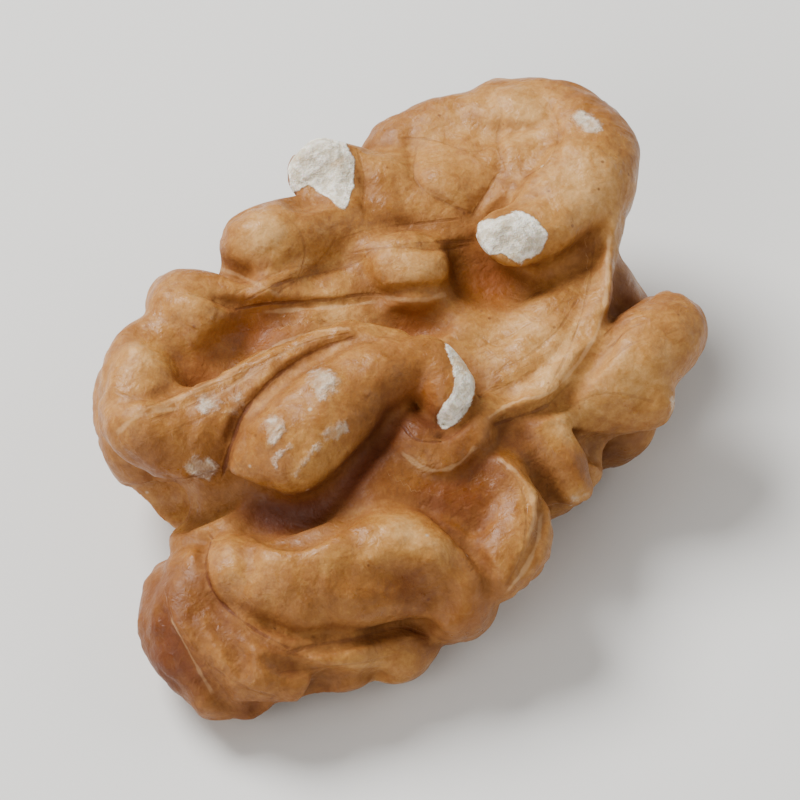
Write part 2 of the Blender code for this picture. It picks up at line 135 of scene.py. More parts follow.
INNER_FOLDS = (
    Fold("plate", 1.8, ((-10.4, 6, 7, 3), (-6.4, 5.8, 7.4, 2.8), (-1.7, 6, 7.6, 2.8), (3.8, 5.4, 7.6, 3),
        (9.9, 5.7, 7.8, 3), (13.5, 6.1, 7.8, 3))),
    Fold("field back", 1.1, ((8, 11.2, 9.1, 2.3), (10.8, 10.4, 9.4, 2.5), (13.2, 8.9, 9.8, 2.5),
        (14, 5.9, 10, 2.5), (12.9, 4.3, 10, 2.4))),
    Fold("field front", 1.1, ((5.3, 8.2, 9.1, 2.4), (8, 7.2, 9.4, 2.5), (11.1, 6.4, 9.6, 2.4))),
    Fold("hook", 0.45, ((13.3, 10.6, 9.8, 2), (15.3, 8.4, 10.2, 2.3), (15.4, 5.5, 10.6, 2.6),
        (14, 3.5, 10.6, 2.6), (11.9, 2.4, 10.7, 2.3), (9.7, 2, 11, 1.9), (8.3, 2, 11.3, 1.8))),
    Fold("column", 0.7, ((6.1, 9, 9.6, 2.1), (4.6, 9.8, 10.2, 2), (3.1, 11, 11.1, 1.9))),
    Fold("knob", 0.5, ((4.1, 7.8, 9.2, 2.1), (1.5, 8.3, 10.1, 2.1), (-0.6, 8.7, 10.5, 2.2),
        (-2, 8.9, 10.5, 2.1))),
    Fold("front of the knob", 0.5, ((-2.2, 8.6, 10.4, 1.8), (-2.2, 7.9, 10.2, 1.6), (-2.3, 7.1, 10, 1.35),
        (-2.2, 6.7, 9.9, 1.2))),
    Fold("seat of the knob", 0.5, ((-3.8, 8.4, 9.5, 1.1), (-3, 8.3, 9.8, 1.25), (-1.8, 8, 9.9, 1.3))),
    Fold("rolled rim", 0.3, ((-6.9, 8.9, 10.1, 1.3), (-5.8, 8, 10.3, 1.1), (-4.8, 6.9, 10.3, 1),
        (-3.4, 6.3, 10.2, 1), (-2, 6.6, 10.1, 1.2), (-0.5, 7.5, 10, 1.3))),
    Fold("shoulder", 0.45, ((-7, 9, 9.2, 1.7), (-7.4, 7.3, 9.6, 2.1), (-6.3, 6.6, 9.2, 1.9))),
    Fold("left end", 0.5, ((-8.3, 6.9, 8.7, 2.1), (-10.4, 6.4, 9.2, 2.2), (-11.6, 5.1, 9.1, 2),
        (-12.5, 3.5, 9, 2.1), (-12, 2.2, 8.7, 2))),
    Fold("ridge", 0.4, ((-11.7, 3.5, 9.4, 1.2), (-10.1, 2.7, 9.7, 1.1), (-7.6, 2.4, 10.1, 1),
        (-4.9, 2, 10.6, 0.9), (-2, 1.4, 10.8, 0.9), (0.2, -0.1, 10.5, 0.8))),
    Fold("ridge foot", 0.5, ((-12.1, 2, 8.8, 1.6), (-10.5, 1.3, 8.9, 1.9), (-8.7, 1.3, 9.1, 1.9),
        (-6.6, 1.7, 9.4, 1.8), (-4.2, 1.7, 9.6, 1.5))),
    Fold("ridge heel", 0.4, ((-11.3, 1, 8.3, 1.5), (-10.1, 0.4, 8.1, 1.5))),
    Fold("front bulge", 0.55, ((-8.6, -1.4, 8.6, 2), (-7, -2.1, 9.1, 2.6), (-4.7, -1.7, 9.8, 2.5),
        (-2.2, -1.4, 10.3, 2), (-0.4, -1.8, 10.5, 1.7), (0.7, -2.5, 10.5, 1.5), (0.7, -4.2, 10.2, 1.4))),
    Fold("wrap", 0.18, ((-1.7, -3.1, 8.9, 1.1), (-1.8, -4.6, 8.6, 1.2), (-0.9, -6, 8.6, 1.2),
        (0.6, -6.1, 8.9, 1.1), (2.3, -5, 9, 0.8))),
    Fold("wall", 1.4, ((4.6, -3.7, 7.4, 1.7), (7.5, -2.7, 8, 1.9), (10.3, -0.6, 8.3, 1.9),
        (12.3, 1.7, 8.7, 2))),
    Fold("wall edge", 0.7, ((13.5, 1.1, 10, 0.7), (12.2, -0.9, 9.8, 0.6), (10.5, -2.9, 9.6, 0.6),
        (8.3, -4.5, 9.2, 0.6), (5.4, -5.7, 8.9, 0.6), (3.2, -5.9, 8.7, 0.7))),
    Fold("pad", 0.45, ((2.5, 6.1, 9.6, 1.6), (3.1, 4.3, 9.9, 1.7), (4.3, 3.6, 9.9, 1.45),
        (5.4, 4.5, 9.5, 1.2))),
    Fold("lower roll of the pad", 0.2, ((1.5, 3.6, 9.2, 0.6), (2.15, 2.8, 9.45, 0.8), (3.3, 2.1, 9.5, 0.8),
        (4.4, 2.2, 9.35, 0.65))),
)

FRONT_FOLDS = (
    Fold("large front fold", 0.32, ((-12, -5.5, 5.7, 2.5), (-10.4, -6.9, 5.9, 2.9), (-8, -8.2, 6.1, 3),
        (-5.4, -9.2, 6.1, 2.9), (-3.8, -10.4, 5.4, 2.4), (-3.9, -11.6, 4.6, 2))),
    Fold("lower front fold", 0.32, ((-14.1, -3.8, 5, 1.7), (-15.1, -5.5, 4.4, 2), (-14.4, -8, 4, 2.1),
        (-12.6, -9.8, 3.8, 1.9), (-9.9, -10.7, 3.6, 1.7))),
    Fold("lowest front fold", 0.32, ((-14.6, -3, 3.5, 1.8), (-15.9, -5.1, 3.1, 1.9), (-15.7, -7.6, 2.9, 1.9),
        (-14.5, -9.2, 2.7, 1.7))),
    Fold("front foot", 0.32, ((-9.9, -10.6, 3.2, 1.7), (-8.3, -10.9, 2.8, 1.3), (-6.8, -11.3, 2.7, 1.8),
        (-5.1, -11.2, 3, 1.2), (-3.4, -11.6, 3.4, 1.6), (-2.4, -11.4, 4, 1.2))),
    Fold("cup", 0.9, ((-2.2, -5.7, 5.2, 2.4), (-0.7, -8, 5, 2.4))),
    Fold("cup edge", 0.42, ((-2.3, -5.3, 7.2, 1), (-0.2, -6.3, 7.6, 1.1), (1.1, -8, 7.6, 1.2),
        (1, -10, 7, 1.2), (-0.2, -11.4, 6.3, 1.2), (-1.8, -11.7, 5.7, 1.3))),
    Fold("small finger", 0.45, ((4.6, -6.8, 7.4, 1.5), (4.5, -8.4, 6.7, 1.3), (4.4, -9.7, 6, 0.95))),
    Fold("web beside the small finger", 0.7, ((2, -6.6, 6.9, 1.4), (3, -7.8, 6.2, 1.3),
        (3.9, -8.3, 5.8, 1.2))),
    Fold("right lobe", 0.45, ((7.7, -5.2, 7.2, 2.2), (10, -5.7, 7.6, 2.4), (12.3, -5.4, 7.8, 2.3),
        (13.3, -5.1, 7.8, 2.1))),
    Fold("right lobe underside", 0.45, ((8.2, -6.3, 6.8, 1.6), (10.3, -7.6, 6.7, 1.5))),
)

HOLLOWS = (
    Fold("crease inside the wrap", 0.15, ((-2.1, -3.5, 10.2, 0.3), (-2.1, -4.5, 9.7, 0.3),
        (-1.7, -5.4, 9.6, 0.3), (-0.7, -5.9, 9.8, 0.3), (0.5, -5.7, 10.1, 0.3), (1.7, -4.8, 10.4, 0.3))),
    Fold("gap beside the small finger", 0.25, ((5.3, -7.4, 7.4, 0.4), (6.2, -8.2, 6.6, 0.7),
        (7.2, -8.3, 5.6, 0.9), (8.2, -9, 4.8, 0.9))),
    Fold("furrow", 0.4, ((-7.6, 2.7, 1, 0.8), (-4.8, 1.2, 0.8, 1), (-1.2, 1.4, 0.7, 1), (2.4, 1.3, 0.7, 1),
        (5.2, 1.6, 0.8, 1), (8.6, 1.4, 1.2, 0.8))),
)


# ---------------------------------------------------------------- finer forms of the seen face
@dataclass(frozen=True)
class Touch:
    """A small form laid on the seen face along photo points.

    Each row is a photo point, the radius, and how far the form stands out or cuts in, in millimetres.
    """

    points: tuple[Row, ...]
    blend: float = 0.22
    carve: bool = False


def crease(*points: Row, blend: float = 0.2) -> Touch:
    """A groove along rows of photo point, radius and depth."""
    return Touch(points, blend, True)


def lip(*points: Row, blend: float = 0.22) -> Touch:
    """A thin raised edge along rows of photo point, radius and height."""
    return Touch(points, blend)


CREASES = (
    # the gap under the front bulge, and the one that runs out to the left of it
    crease((424, 506, 0.6, 0.3), (434, 508, 0.8, 0.7), (442, 512, 0.9, 0.9), (450, 517, 0.9, 0.8),
        (460, 519, 0.9, 0.8), (470, 515, 0.8, 0.7), (478, 507, 0.6, 0.5), (484, 499, 0.5, 0.4),
        (490, 492, 0.45, 0.4), (496, 486, 0.4, 0.3), (499, 481, 0.4, 0.2), blend=0.5),
    crease((394, 515, 1.3, 0.8), (404, 516, 1.4, 1.4), (414, 515, 1.3, 1.6), (424, 513, 1.1, 1.4),
        (434, 510, 0.9, 1), blend=0.4),
    crease((438, 517, 0.6, 0.3), (446, 522, 0.9, 0.7), (455, 524, 1.1, 0.9), (465, 524, 1.1, 0.9),
        (474, 521, 0.9, 0.6), (483, 516, 0.7, 0.2), blend=0.6),
    # around the front bulge and the wrap
    crease((431, 503, 0.3, 0.25), (434, 490, 0.3, 0.3), (438, 480, 0.3, 0.3), (445, 471, 0.3, 0.3),
        (454, 463, 0.3, 0.3), (462, 457, 0.3, 0.28), (471, 452, 0.3, 0.25), (481, 449, 0.25, 0.2),
        (493, 449, 0.25, 0.1), blend=0.15),
    # left end and shoulder
    crease((384, 473, 0.4, 0.1), (392, 472, 0.4, 0.2), (402, 471, 0.4, 0.25), (412, 469, 0.4, 0.2),
        (420, 466, 0.35, 0.1)),
    crease((399, 444, 1.2, 0.35), (406, 447, 1.2, 0.35), (412, 452, 1.1, 0.3), (417, 458, 1, 0.25),
        (422, 464, 0.8, 0.1), blend=0.9),
    crease((426, 420, 0.5, 0.2), (432, 421, 0.4, 0.2), (437, 423, 0.4, 0.15), (442, 426, 0.3, 0.05),
        blend=0.4),
    # the hollow end of the valley
    crease((424, 460, 0.8, 0.1), (431, 455, 1.1, 0.5), (438, 449, 1.2, 0.8), (444, 444, 1.2, 0.8),
        (450, 441, 0.9, 0.5), (457, 440, 0.7, 0.2), blend=0.5),
    # the long crease over the valley, and the streak below the knob
    crease((421, 430, 0.4, 0.15), (428, 432, 0.4, 0.3), (436, 435, 0.4, 0.35), (446, 436, 0.3, 0.3),
        (460, 435, 0.25, 0.25), (475, 434, 0.25, 0.25), (490, 432, 0.25, 0.2), (500, 431, 0.2, 0.1)),
    crease((452, 429, 0.3, 0.12), (462, 424, 0.3, 0.18), (472, 420, 0.3, 0.18), (484, 416, 0.3, 0.12),
        (496, 411, 0.25, 0.1)),
    # pad and the hollow below it
    crease((500, 412, 0.25, 0.12), (510, 411, 0.25, 0.2), (520, 411, 0.25, 0.2), (530, 409, 0.25, 0.2)),
    crease((486, 416, 0.4, 0.05), (489, 426, 0.45, 0.15), (491, 434, 0.4, 0.2), blend=0.4),
    crease((494, 431, 0.3, 0.2), (503, 429, 0.3, 0.25), (512, 428, 0.3, 0.25), (521, 427, 0.3, 0.15)),
    crease((496, 441, 0.6, 0.3), (502, 443, 0.8, 0.7), (509, 444, 0.8, 0.8), (516, 442, 0.8, 0.6), blend=0.6),
    # below and beside the hook
    crease((527, 418, 0.9, 0.3), (532, 424, 1.1, 0.45), (539, 428, 1.1, 0.45), (547, 428, 0.9, 0.3),
        (558, 425, 0.5, 0.2), (568, 420, 0.5, 0.3), (576, 413, 0.5, 0.4), (581, 407, 0.4, 0.3), blend=0.9),
    crease((540, 397, 0.3, 0.15), (549, 393, 0.3, 0.15), (558, 389, 0.3, 0.1), (567, 385, 0.3, 0.05)),
    # the net on the field
    crease((506, 362, 0.25, 0.11), (506, 374, 0.25, 0.19), (509, 386, 0.25, 0.19), (517, 391, 0.25, 0.19),
        (525, 397, 0.22, 0.18), (531, 401, 0.22, 0.14), blend=0.16),
    crease((530, 400, 0.22, 0.14), (534, 392, 0.25, 0.19), (539, 385, 0.25, 0.22), (542, 376, 0.25, 0.19),
        (541, 366, 0.25, 0.19), (542, 357, 0.25, 0.19), (537, 350, 0.22, 0.14), blend=0.16),
    crease((542, 361, 0.22, 0.14), (552, 362, 0.22, 0.18), (560, 359, 0.22, 0.18), (563, 352, 0.3, 0.14),
        blend=0.16),
    crease((563, 357, 0.3, 0.14), (566, 367, 0.22, 0.18), (563, 378, 0.22, 0.14), (555, 385, 0.3, 0.14),
        blend=0.16),
    crease((541, 384, 0.22, 0.18), (549, 386, 0.22, 0.14), (557, 387, 0.3, 0.14), blend=0.16),
    crease((484, 372, 0.25, 0.14), (487, 384, 0.25, 0.19), (487, 396, 0.25, 0.14), blend=0.16),
    crease((490, 397, 0.3, 0.14), (500, 402, 0.3, 0.16), (512, 403, 0.3, 0.14), blend=0.16),
    # behind the edge of the wall, and beside the small finger
    crease((588, 442, 0.6, 0.2), (582, 453, 0.7, 0.5), (573, 463, 0.7, 0.4), (565, 472, 0.6, 0.4),
        (556, 477, 0.5, 0.3), (546, 480, 0.4, 0.3), (539, 482, 0.4, 0.2)),
    crease((553, 497, 0.3, 0.1), (557, 505, 0.35, 0.25), (562, 512, 0.35, 0.2), blend=0.35),
    # streaks on the right lobe
    crease((582, 449, 0.2, 0.1), (589, 443, 0.2, 0.12), (598, 438, 0.2, 0.08)),
    crease((583, 455, 0.2, 0.08), (591, 449, 0.2, 0.1), (600, 446, 0.2, 0.05)),
    crease((585, 442, 0.2, 0.08), (592, 436, 0.2, 0.1), (602, 432, 0.2, 0.05)),
    # dents in the large front fold
    crease((440, 523, 0.5, 0.1), (441, 530, 0.5, 0.2), (443, 537, 0.5, 0.1), blend=0.4),
    crease((479, 541, 0.8, 0.1), (487, 543, 0.8, 0.15), (496, 541, 0.8, 0.1), blend=0.6),
    # between cup and large front fold, and outside the edge of the cup
    crease((510, 515, 0.3, 0.05), (517, 520, 0.35, 0.3), (525, 527, 0.4, 0.4), (532, 535, 0.4, 0.4),
        (536, 542, 0.4, 0.3), (536, 548, 0.35, 0.2)),
    crease((556, 505, 0.35, 0.2), (558, 514, 0.4, 0.3), (557, 524, 0.4, 0.3), (553, 533, 0.35, 0.3),
        (549, 541, 0.3, 0.2)),
    # the large front fold and the small folds below it
    crease((424, 529, 0.3, 0.2), (424, 539, 0.3, 0.3), (427, 549, 0.3, 0.3), (433, 557, 0.3, 0.3),
        (441, 563, 0.3, 0.3), (450, 568, 0.3, 0.3), (458, 570, 0.3, 0.25), (470, 570, 0.3, 0.2), blend=0.15),
    crease((462, 571, 0.4, 0.3), (475, 569, 0.4, 0.35), (488, 566, 0.4, 0.35), (499, 562, 0.4, 0.35),
        (510, 561, 0.35, 0.3), (518, 566, 0.3, 0.2)),
    crease((450, 574, 0.35, 0.2), (458, 577, 0.5, 0.5), (470, 579, 0.4, 0.4), (483, 580, 0.3, 0.25),
        (495, 580, 0.3, 0.2)),
    crease((408, 557, 0.4, 0.2), (413, 567, 0.45, 0.35), (419, 577, 0.5, 0.4), (426, 586, 0.5, 0.4),
        (434, 594, 0.5, 0.4), (442, 600, 0.6, 0.5), blend=0.3),
    crease((420, 560, 0.5, 0.1), (424, 570, 0.5, 0.3), (429, 580, 0.5, 0.35), (434, 589, 0.5, 0.2),
        blend=0.4),
    crease((386, 560, 0.5, 0.1), (392, 571, 0.5, 0.25), (400, 582, 0.5, 0.3), (409, 593, 0.5, 0.25),
        blend=0.4),
    crease((430, 560, 0.5, 0.1), (437, 569, 0.5, 0.2), (441, 578, 0.5, 0.1), blend=0.4),
    crease((440, 596, 0.8, 0.6), (452, 597, 0.8, 0.8), (463, 595, 0.8, 0.8), (470, 588, 0.9, 0.9),
        (474, 584, 0.8, 0.8), (484, 583, 0.5, 0.4), (495, 582, 0.4, 0.3)),
    crease((499, 544, 1.4, 0.25), (508, 546, 1.4, 0.3), (515, 549, 1, 0.2), blend=0.6),
    crease((517, 540, 0.3, 0.08), (521, 549, 0.3, 0.12), (518, 558, 0.3, 0.12), (510, 563, 0.35, 0.15)),
)

LIPS = (
    # the slope between the front bulge and the cup
    lip((480, 513, 1.7, 0.2), (489, 507, 1.9, 0.45), (496, 499, 1.8, 0.45), (501, 491, 1.3, 0.2), blend=1.2),
    # the inside of the cup, nearly level with its edge
    lip((512, 508, 1.8, 0.2), (524, 510, 2, 0.5), (534, 516, 2, 0.6), (539, 526, 1.8, 0.6),
        (538, 536, 1.6, 0.4), blend=0.8),
    # the sheet over the lower front fold
    lip((414, 556, 1, 0.2), (421, 567, 1.1, 0.4), (428, 577, 1.1, 0.45), (435, 587, 1.1, 0.45),
        (443, 595, 1, 0.3), blend=0.4),
    lip((411, 553, 0.6, 0.1), (415, 563, 0.7, 0.3), (420, 573, 0.7, 0.35), (425, 583, 0.7, 0.3),
        (430, 590, 0.6, 0.1), blend=0.3),
    # the collar round the end of the front bulge
    lip((500, 494, 0.5, 0.1), (507, 499, 0.6, 0.3), (516, 500, 0.6, 0.3), (525, 497, 0.5, 0.2), blend=0.3),
    # the field beside the hook
    lip((540, 394, 1, 0.2), (548, 389, 1.3, 0.35), (557, 384, 1.4, 0.35), (565, 375, 1.2, 0.2), blend=0.6),
    # the bump on the pad
    lip((493, 424, 0.8, 0.1), (501, 425, 0.9, 0.2), (510, 424, 0.9, 0.2), (518, 421, 0.9, 0.15),
        (522, 416, 0.8, 0.1), blend=0.5),
    # strips that keep the flank of the ridge and the side of the large front fold nearly level
    lip((441, 476, 0.7, 0.25), (447, 470, 0.9, 0.4), (456, 461, 0.9, 0.5), (465, 456, 0.9, 0.5),
        (475, 452, 0.9, 0.45), (485, 450, 0.8, 0.3), blend=0.4),
    lip((422, 536, 0.8, 0.3), (427, 548, 0.9, 0.4), (436, 560, 0.9, 0.45), (448, 569, 0.9, 0.45),
        (462, 573, 0.9, 0.4), (478, 572, 0.8, 0.35), (493, 569, 0.7, 0.3), blend=0.4),
    # the crest of the ridge, and the lower side of the long crease
    lip((398, 478, 0.25, 0.12), (408, 475, 0.3, 0.2), (417, 472, 0.3, 0.22), (425, 467, 0.3, 0.25),
        (433, 464, 0.3, 0.25), (440, 459, 0.3, 0.25), (448, 457, 0.3, 0.25), (455, 452, 0.3, 0.25),
        (462, 449, 0.3, 0.25), (470, 446, 0.3, 0.22), (478, 445, 0.3, 0.2), (486, 448, 0.25, 0.15),
        (496, 449, 0.25, 0.1)),
    lip((458, 432, 0.25, 0.1), (470, 431, 0.25, 0.15), (482, 430, 0.25, 0.1)),
    # the thin edge of the wall, and the papery folds that run to it
    lip((590, 394, 0.4, 0.1), (587, 402, 0.4, 0.3), (585, 410, 0.35, 0.3), (585, 420, 0.3, 0.3),
        (584, 432, 0.3, 0.3), (581, 445, 0.3, 0.3), (575, 455, 0.3, 0.25), (568, 465, 0.3, 0.25),
        (560, 472, 0.3, 0.25), (551, 473, 0.3, 0.25), (543, 476, 0.3, 0.2), (538, 480, 0.3, 0.15)),
    lip((584, 428, 0.2, 0.08), (575, 440, 0.2, 0.12), (564, 450, 0.2, 0.12), (552, 459, 0.2, 0.1),
        (543, 464, 0.2, 0.05)),
    lip((581, 442, 0.2, 0.08), (571, 453, 0.2, 0.12), (560, 463, 0.2, 0.12), (550, 469, 0.2, 0.06)),
    lip((578, 432, 0.2, 0.05), (568, 440, 0.2, 0.1), (556, 447, 0.2, 0.1), (544, 452, 0.2, 0.05)),
    # the edge of the cup, and the smaller one outside it
    lip((541, 497, 0.3, 0.15), (548, 503, 0.3, 0.3), (553, 511, 0.3, 0.35), (553, 521, 0.3, 0.35),
        (549, 531, 0.3, 0.3), (545, 541, 0.3, 0.2)),
    lip((558, 506, 0.3, 0.1), (561, 514, 0.35, 0.2), (560, 523, 0.35, 0.2), (555, 533, 0.3, 0.2),
        (552, 541, 0.3, 0.2), (547, 549, 0.3, 0.1)),
    # beside the crease in the large front fold, and on the wrap
    lip((428, 529, 0.25, 0.1), (428, 539, 0.25, 0.12), (431, 548, 0.25, 0.12), (437, 556, 0.25, 0.1)),
    lip((501, 499, 0.3, 0.15), (510, 501, 0.3, 0.2), (519, 500, 0.3, 0.2), (528, 495, 0.3, 0.2),
        (534, 488, 0.3, 0.15)),
)

LUMPS = (
    # left end, shoulder, rim, knob and column
    (402, 457, 1.5, 0.25), (391, 463, 1, 0.12), (400, 482, 1.8, 0.3), (411, 484, 0.6, 0.12),
    (388, 486, 1.2, 0.15), (415, 434, 1, 0.25), (409, 428, 1, 0.2), (425, 443, 1.6, 0.2),
    (418, 423, 0.8, 0.15), (447, 430, 0.9, 0.2), (446, 405, 1.6, 0.3), (434, 406, 1.2, 0.2),
    (455, 400, 1.2, 0.1), (465, 405, 1, 0.15),
    # the slope inside the left end
    (411, 463, 1.9, 0.3), (420, 460, 1.5, 0.15),
    # pad, field and hook
    (508, 420, 2.2, 0.35), (498, 419, 1.4, 0.15), (523, 370, 2.2, 0.4), (519, 383, 1.8, 0.3),
    (550, 371, 1.8, 0.35), (548, 352, 1.8, 0.35), (575, 372, 1.6, 0.2), (496, 383, 1.6, 0.2),
    (498, 395, 1.4, 0.15), (585, 380, 1.8, 0.15), (565, 405, 1.5, 0.15),
    # front bulge and right lobe
    (460, 503, 1.8, 0.25), (449, 484, 1, 0.15), (470, 465, 1, 0.15), (495, 462, 1.6, 0.15),
    (600, 455, 1.6, 0.25), (590, 468, 1.5, 0.15), (607, 470, 1, 0.2), (597, 440, 1.3, 0.15),
    (585, 448, 0.7, 0.1), (613, 446, 1.4, 0.1),
    # large front fold
    (433, 538, 1.2, 0.25), (452, 540, 1.5, 0.25), (474, 533, 1.5, 0.25), (496, 526, 1.7, 0.35),
    (514, 531, 1.3, 0.25), (462, 560, 1.4, 0.25), (485, 557, 1.4, 0.25), (527, 548, 1.1, 0.35),
    (443, 552, 1, 0.2), (500, 551, 1, 0.15), (520, 560, 1, 0.3), (417, 547, 1.8, 0.3), (422, 535, 1.2, 0.15),
    # the small folds below it
    (495, 571, 1.2, 0.4), (482, 573, 0.9, 0.25), (446, 584, 1.8, 0.4), (460, 588, 1.2, 0.3),
    (430, 580, 1.2, 0.2), (412, 575, 1.5, 0.2), (425, 596, 1.3, 0.3), (405, 560, 1.3, 0.2),
    (497, 592, 1.3, 0.3), (480, 596, 1.2, 0.2), (505, 580, 1, 0.2),
)


# ---------------------------------------------------------------- marks on the skin
class Mark(Enum):
    """Kinds of line drawn in the skin, each with its own pair of attributes."""

    DARK = "dark"
    BRANCH = "branch"
    FAINT = "faint"
    FAINT_BRANCH = "faint_branch"
    PALE = "pale_line"


@dataclass(frozen=True)
class Line:
    """A line in the skin: photo points, and how strong it is at its start and end."""

    points: tuple[Spot, ...]
    start: float
    end: float


# Half the width of each kind of line, in millimetres.
HALF_WIDTHS = {Mark.DARK: 0.13, Mark.BRANCH: 0.12, Mark.FAINT: 0.10, Mark.FAINT_BRANCH: 0.09, Mark.PALE: 0.16}

LINES: dict[Mark, tuple[Line, ...]] = {
    Mark.DARK: (
        # behind the front bulge, the crease that runs into the valley, between the front folds, on the pad
        Line(((431, 503), (435, 490), (440, 478), (448, 468), (459, 459), (470, 453), (482, 449)), 1, 0.5),
        Line(((436, 437), (446, 435), (458, 434), (472, 433), (487, 431), (494, 431)), 1, 0.3),
        Line(((458, 572), (470, 569), (484, 567), (500, 563), (512, 566)), 0.5, 0.4),
        Line(((505, 403), (500, 411), (512, 410), (530, 409)), 0.2, 0.4),
    ),
    Mark.BRANCH: (
        # in the large front fold, inside the wrap and below the knob
        Line(((427, 528), (425, 539), (429, 550), (436, 557), (446, 564), (457, 570)), 1, 0.7),
        Line(((503, 484), (506, 488), (511, 490), (520, 489), (528, 483)), 0.9, 0.5),
        Line(((440, 433), (455, 426), (470, 422), (484, 418), (492, 411)), 0.6, 0.2),
        # painted shadow under the thin edge of the wall
        Line(((539, 483), (548, 480), (559, 476), (569, 467)), 0.7, 0.5),
    ),
    Mark.FAINT: (
        # the net on the field at the far right
        Line(((508, 370), (507, 382), (512, 389), (521, 394), (531, 398)), 0.6, 0.6),
        Line(((540, 345), (543, 356), (541, 368), (544, 380)), 0.3, 0.5),
        Line(((563, 352), (566, 364), (562, 376), (552, 383)), 0.3, 0.6),
        Line(((484, 372), (487, 384), (486, 396)), 0.6, 0.3),
        Line(((482, 414), (498, 412), (516, 413), (528, 411)), 0.5, 0.6),
        # streaks on the knob, the rim and the ridge
        Line(((436, 430), (448, 424), (459, 420), (470, 419)), 0.5, 0.4),
        Line(((402, 476), (416, 470), (430, 464), (444, 456), (458, 450)), 0.8, 0.3),
        Line(((440, 478), (436, 470), (440, 461)), 0.8, 0.2),
        # papery folds of the wall
        Line(((540, 462), (552, 456), (564, 446), (572, 434)), 0.5, 0.5),
        Line(((538, 470), (550, 465), (561, 458)), 0.6, 0.3),
        # the front folds
        Line(((409, 548), (414, 563), (426, 576), (440, 585), (452, 589)), 0.6, 0.6),
        Line(((541, 498), (549, 508), (551, 520), (549, 534), (543, 546)), 0.5, 0.5),
        Line(((566, 478), (578, 472), (590, 471), (602, 474)), 0.3, 0.5),
        Line(((389, 470), (396, 473), (404, 474)), 0.5, 0.3),
        Line(((425, 422), (434, 424), (443, 428), (450, 433)), 0.3, 0.4),
        # fine wrinkles of the ridge, the knob, the right lobe and the wall
        Line(((410, 486), (424, 480), (434, 473)), 0.4, 0.2),
        Line(((452, 431), (460, 425), (470, 416), (476, 407)), 0.5, 0.3),
        Line(((586, 452), (593, 445), (604, 441)), 0.8, 0.2),
        Line(((532, 447), (540, 452), (549, 449)), 0.4, 0.2),
        Line(((545, 469), (552, 463), (560, 461)), 0.5, 0.2),
        Line(((549, 437), (556, 442), (563, 438), (569, 431)), 0.4, 0.3),
    ),
    Mark.FAINT_BRANCH: (
        # the net on the field at the far right
        Line(((531, 398), (537, 388), (542, 381), (551, 380)), 0.8, 0.3),
        Line(((502, 366), (515, 367), (530, 372), (541, 369)), 0.6, 0.3),
        Line(((478, 408), (492, 404), (508, 402), (524, 400)), 0.3, 0.6),
        # streaks on the knob, the rim and the ridge
        Line(((452, 398), (460, 404), (463, 414), (460, 426)), 0.3, 0.7),
        Line(((420, 470), (436, 464), (450, 457), (466, 450), (480, 447)), 0.4, 0.7),
        # papery folds of the wall
        Line(((560, 470), (568, 455), (574, 440), (578, 424), (580, 408)), 0.4, 0.7),
        Line(((534, 452), (546, 447), (558, 439), (566, 430)), 0.4, 0.3),
        # the front folds
        Line(((432, 553), (442, 563), (455, 571), (470, 576)), 0.7, 0.3),
        Line(((455, 580), (470, 578), (488, 576), (502, 573)), 0.6, 0.3),
        Line(((409, 433), (416, 431), (424, 433), (433, 437)), 0.3, 0.6),
        # fine wrinkles of the ridge, the knob, the right lobe and the wall
        Line(((404, 481), (418, 476), (432, 469), (446, 461)), 0.6, 0.3),
        Line(((584, 447), (590, 441), (600, 437)), 0.8, 0.2),
        Line(((585, 458), (594, 451), (603, 448)), 0.7, 0.2),
        Line(((540, 463), (546, 458), (554, 459)), 0.5, 0.2),
        Line(((533, 472), (540, 468), (547, 470)), 0.4, 0.2),
        Line(((415, 560), (422, 571), (429, 582), (436, 591)), 0.5, 0.3),
    ),
    Mark.PALE: (
        # pale lines on thin edges and crests: partly the skin's paler edges, partly painted highlight
        # the thin edge of the wall
        Line(((586, 408), (585, 420), (584, 432), (581, 444), (575, 455), (568, 464), (560, 471),
            (550, 473)), 0.8, 0.9),
        Line(((550, 473), (543, 476), (537, 480)), 0.9, 0.6),
        # the collar of the front bulge, and the edges of the cup
        Line(((503, 495), (510, 500), (518, 501), (525, 498), (530, 493)), 0.7, 0.5),
        Line(((541, 497), (548, 503), (553, 511), (554, 520), (552, 527)), 0.6, 0.4),
        Line(((557, 519), (555, 530), (550, 540), (544, 548)), 0.5, 0.7),
        # the ridge, the long crease, the rim, the left end, the hollow below the pad and the sheet
        Line(((398, 478), (410, 474), (420, 470), (432, 463), (444, 456), (455, 450), (468, 446),
            (480, 445)), 0.3, 0.6),
        Line(((425, 474), (438, 466), (450, 458), (462, 451)), 0.5, 0.4),
        Line(((448, 438), (462, 437), (476, 436), (490, 434)), 0.5, 0.5),
        Line(((428, 420), (436, 423), (444, 427), (452, 431)), 0.5, 0.4),
        Line(((390, 486), (396, 481), (404, 478), (412, 477)), 0.5, 0.5),
        Line(((496, 432), (504, 433), (512, 433), (519, 431)), 0.4, 0.5),
        Line(((412, 560), (417, 569), (422, 578), (427, 587)), 0.5, 0.3),
    ),
}


@dataclass(frozen=True)
class Chip:
    """A broken place that shows the pale flesh: the corners of its outline, photo points."""

    outline: tuple[Spot, ...]
    bare: float = 1.0


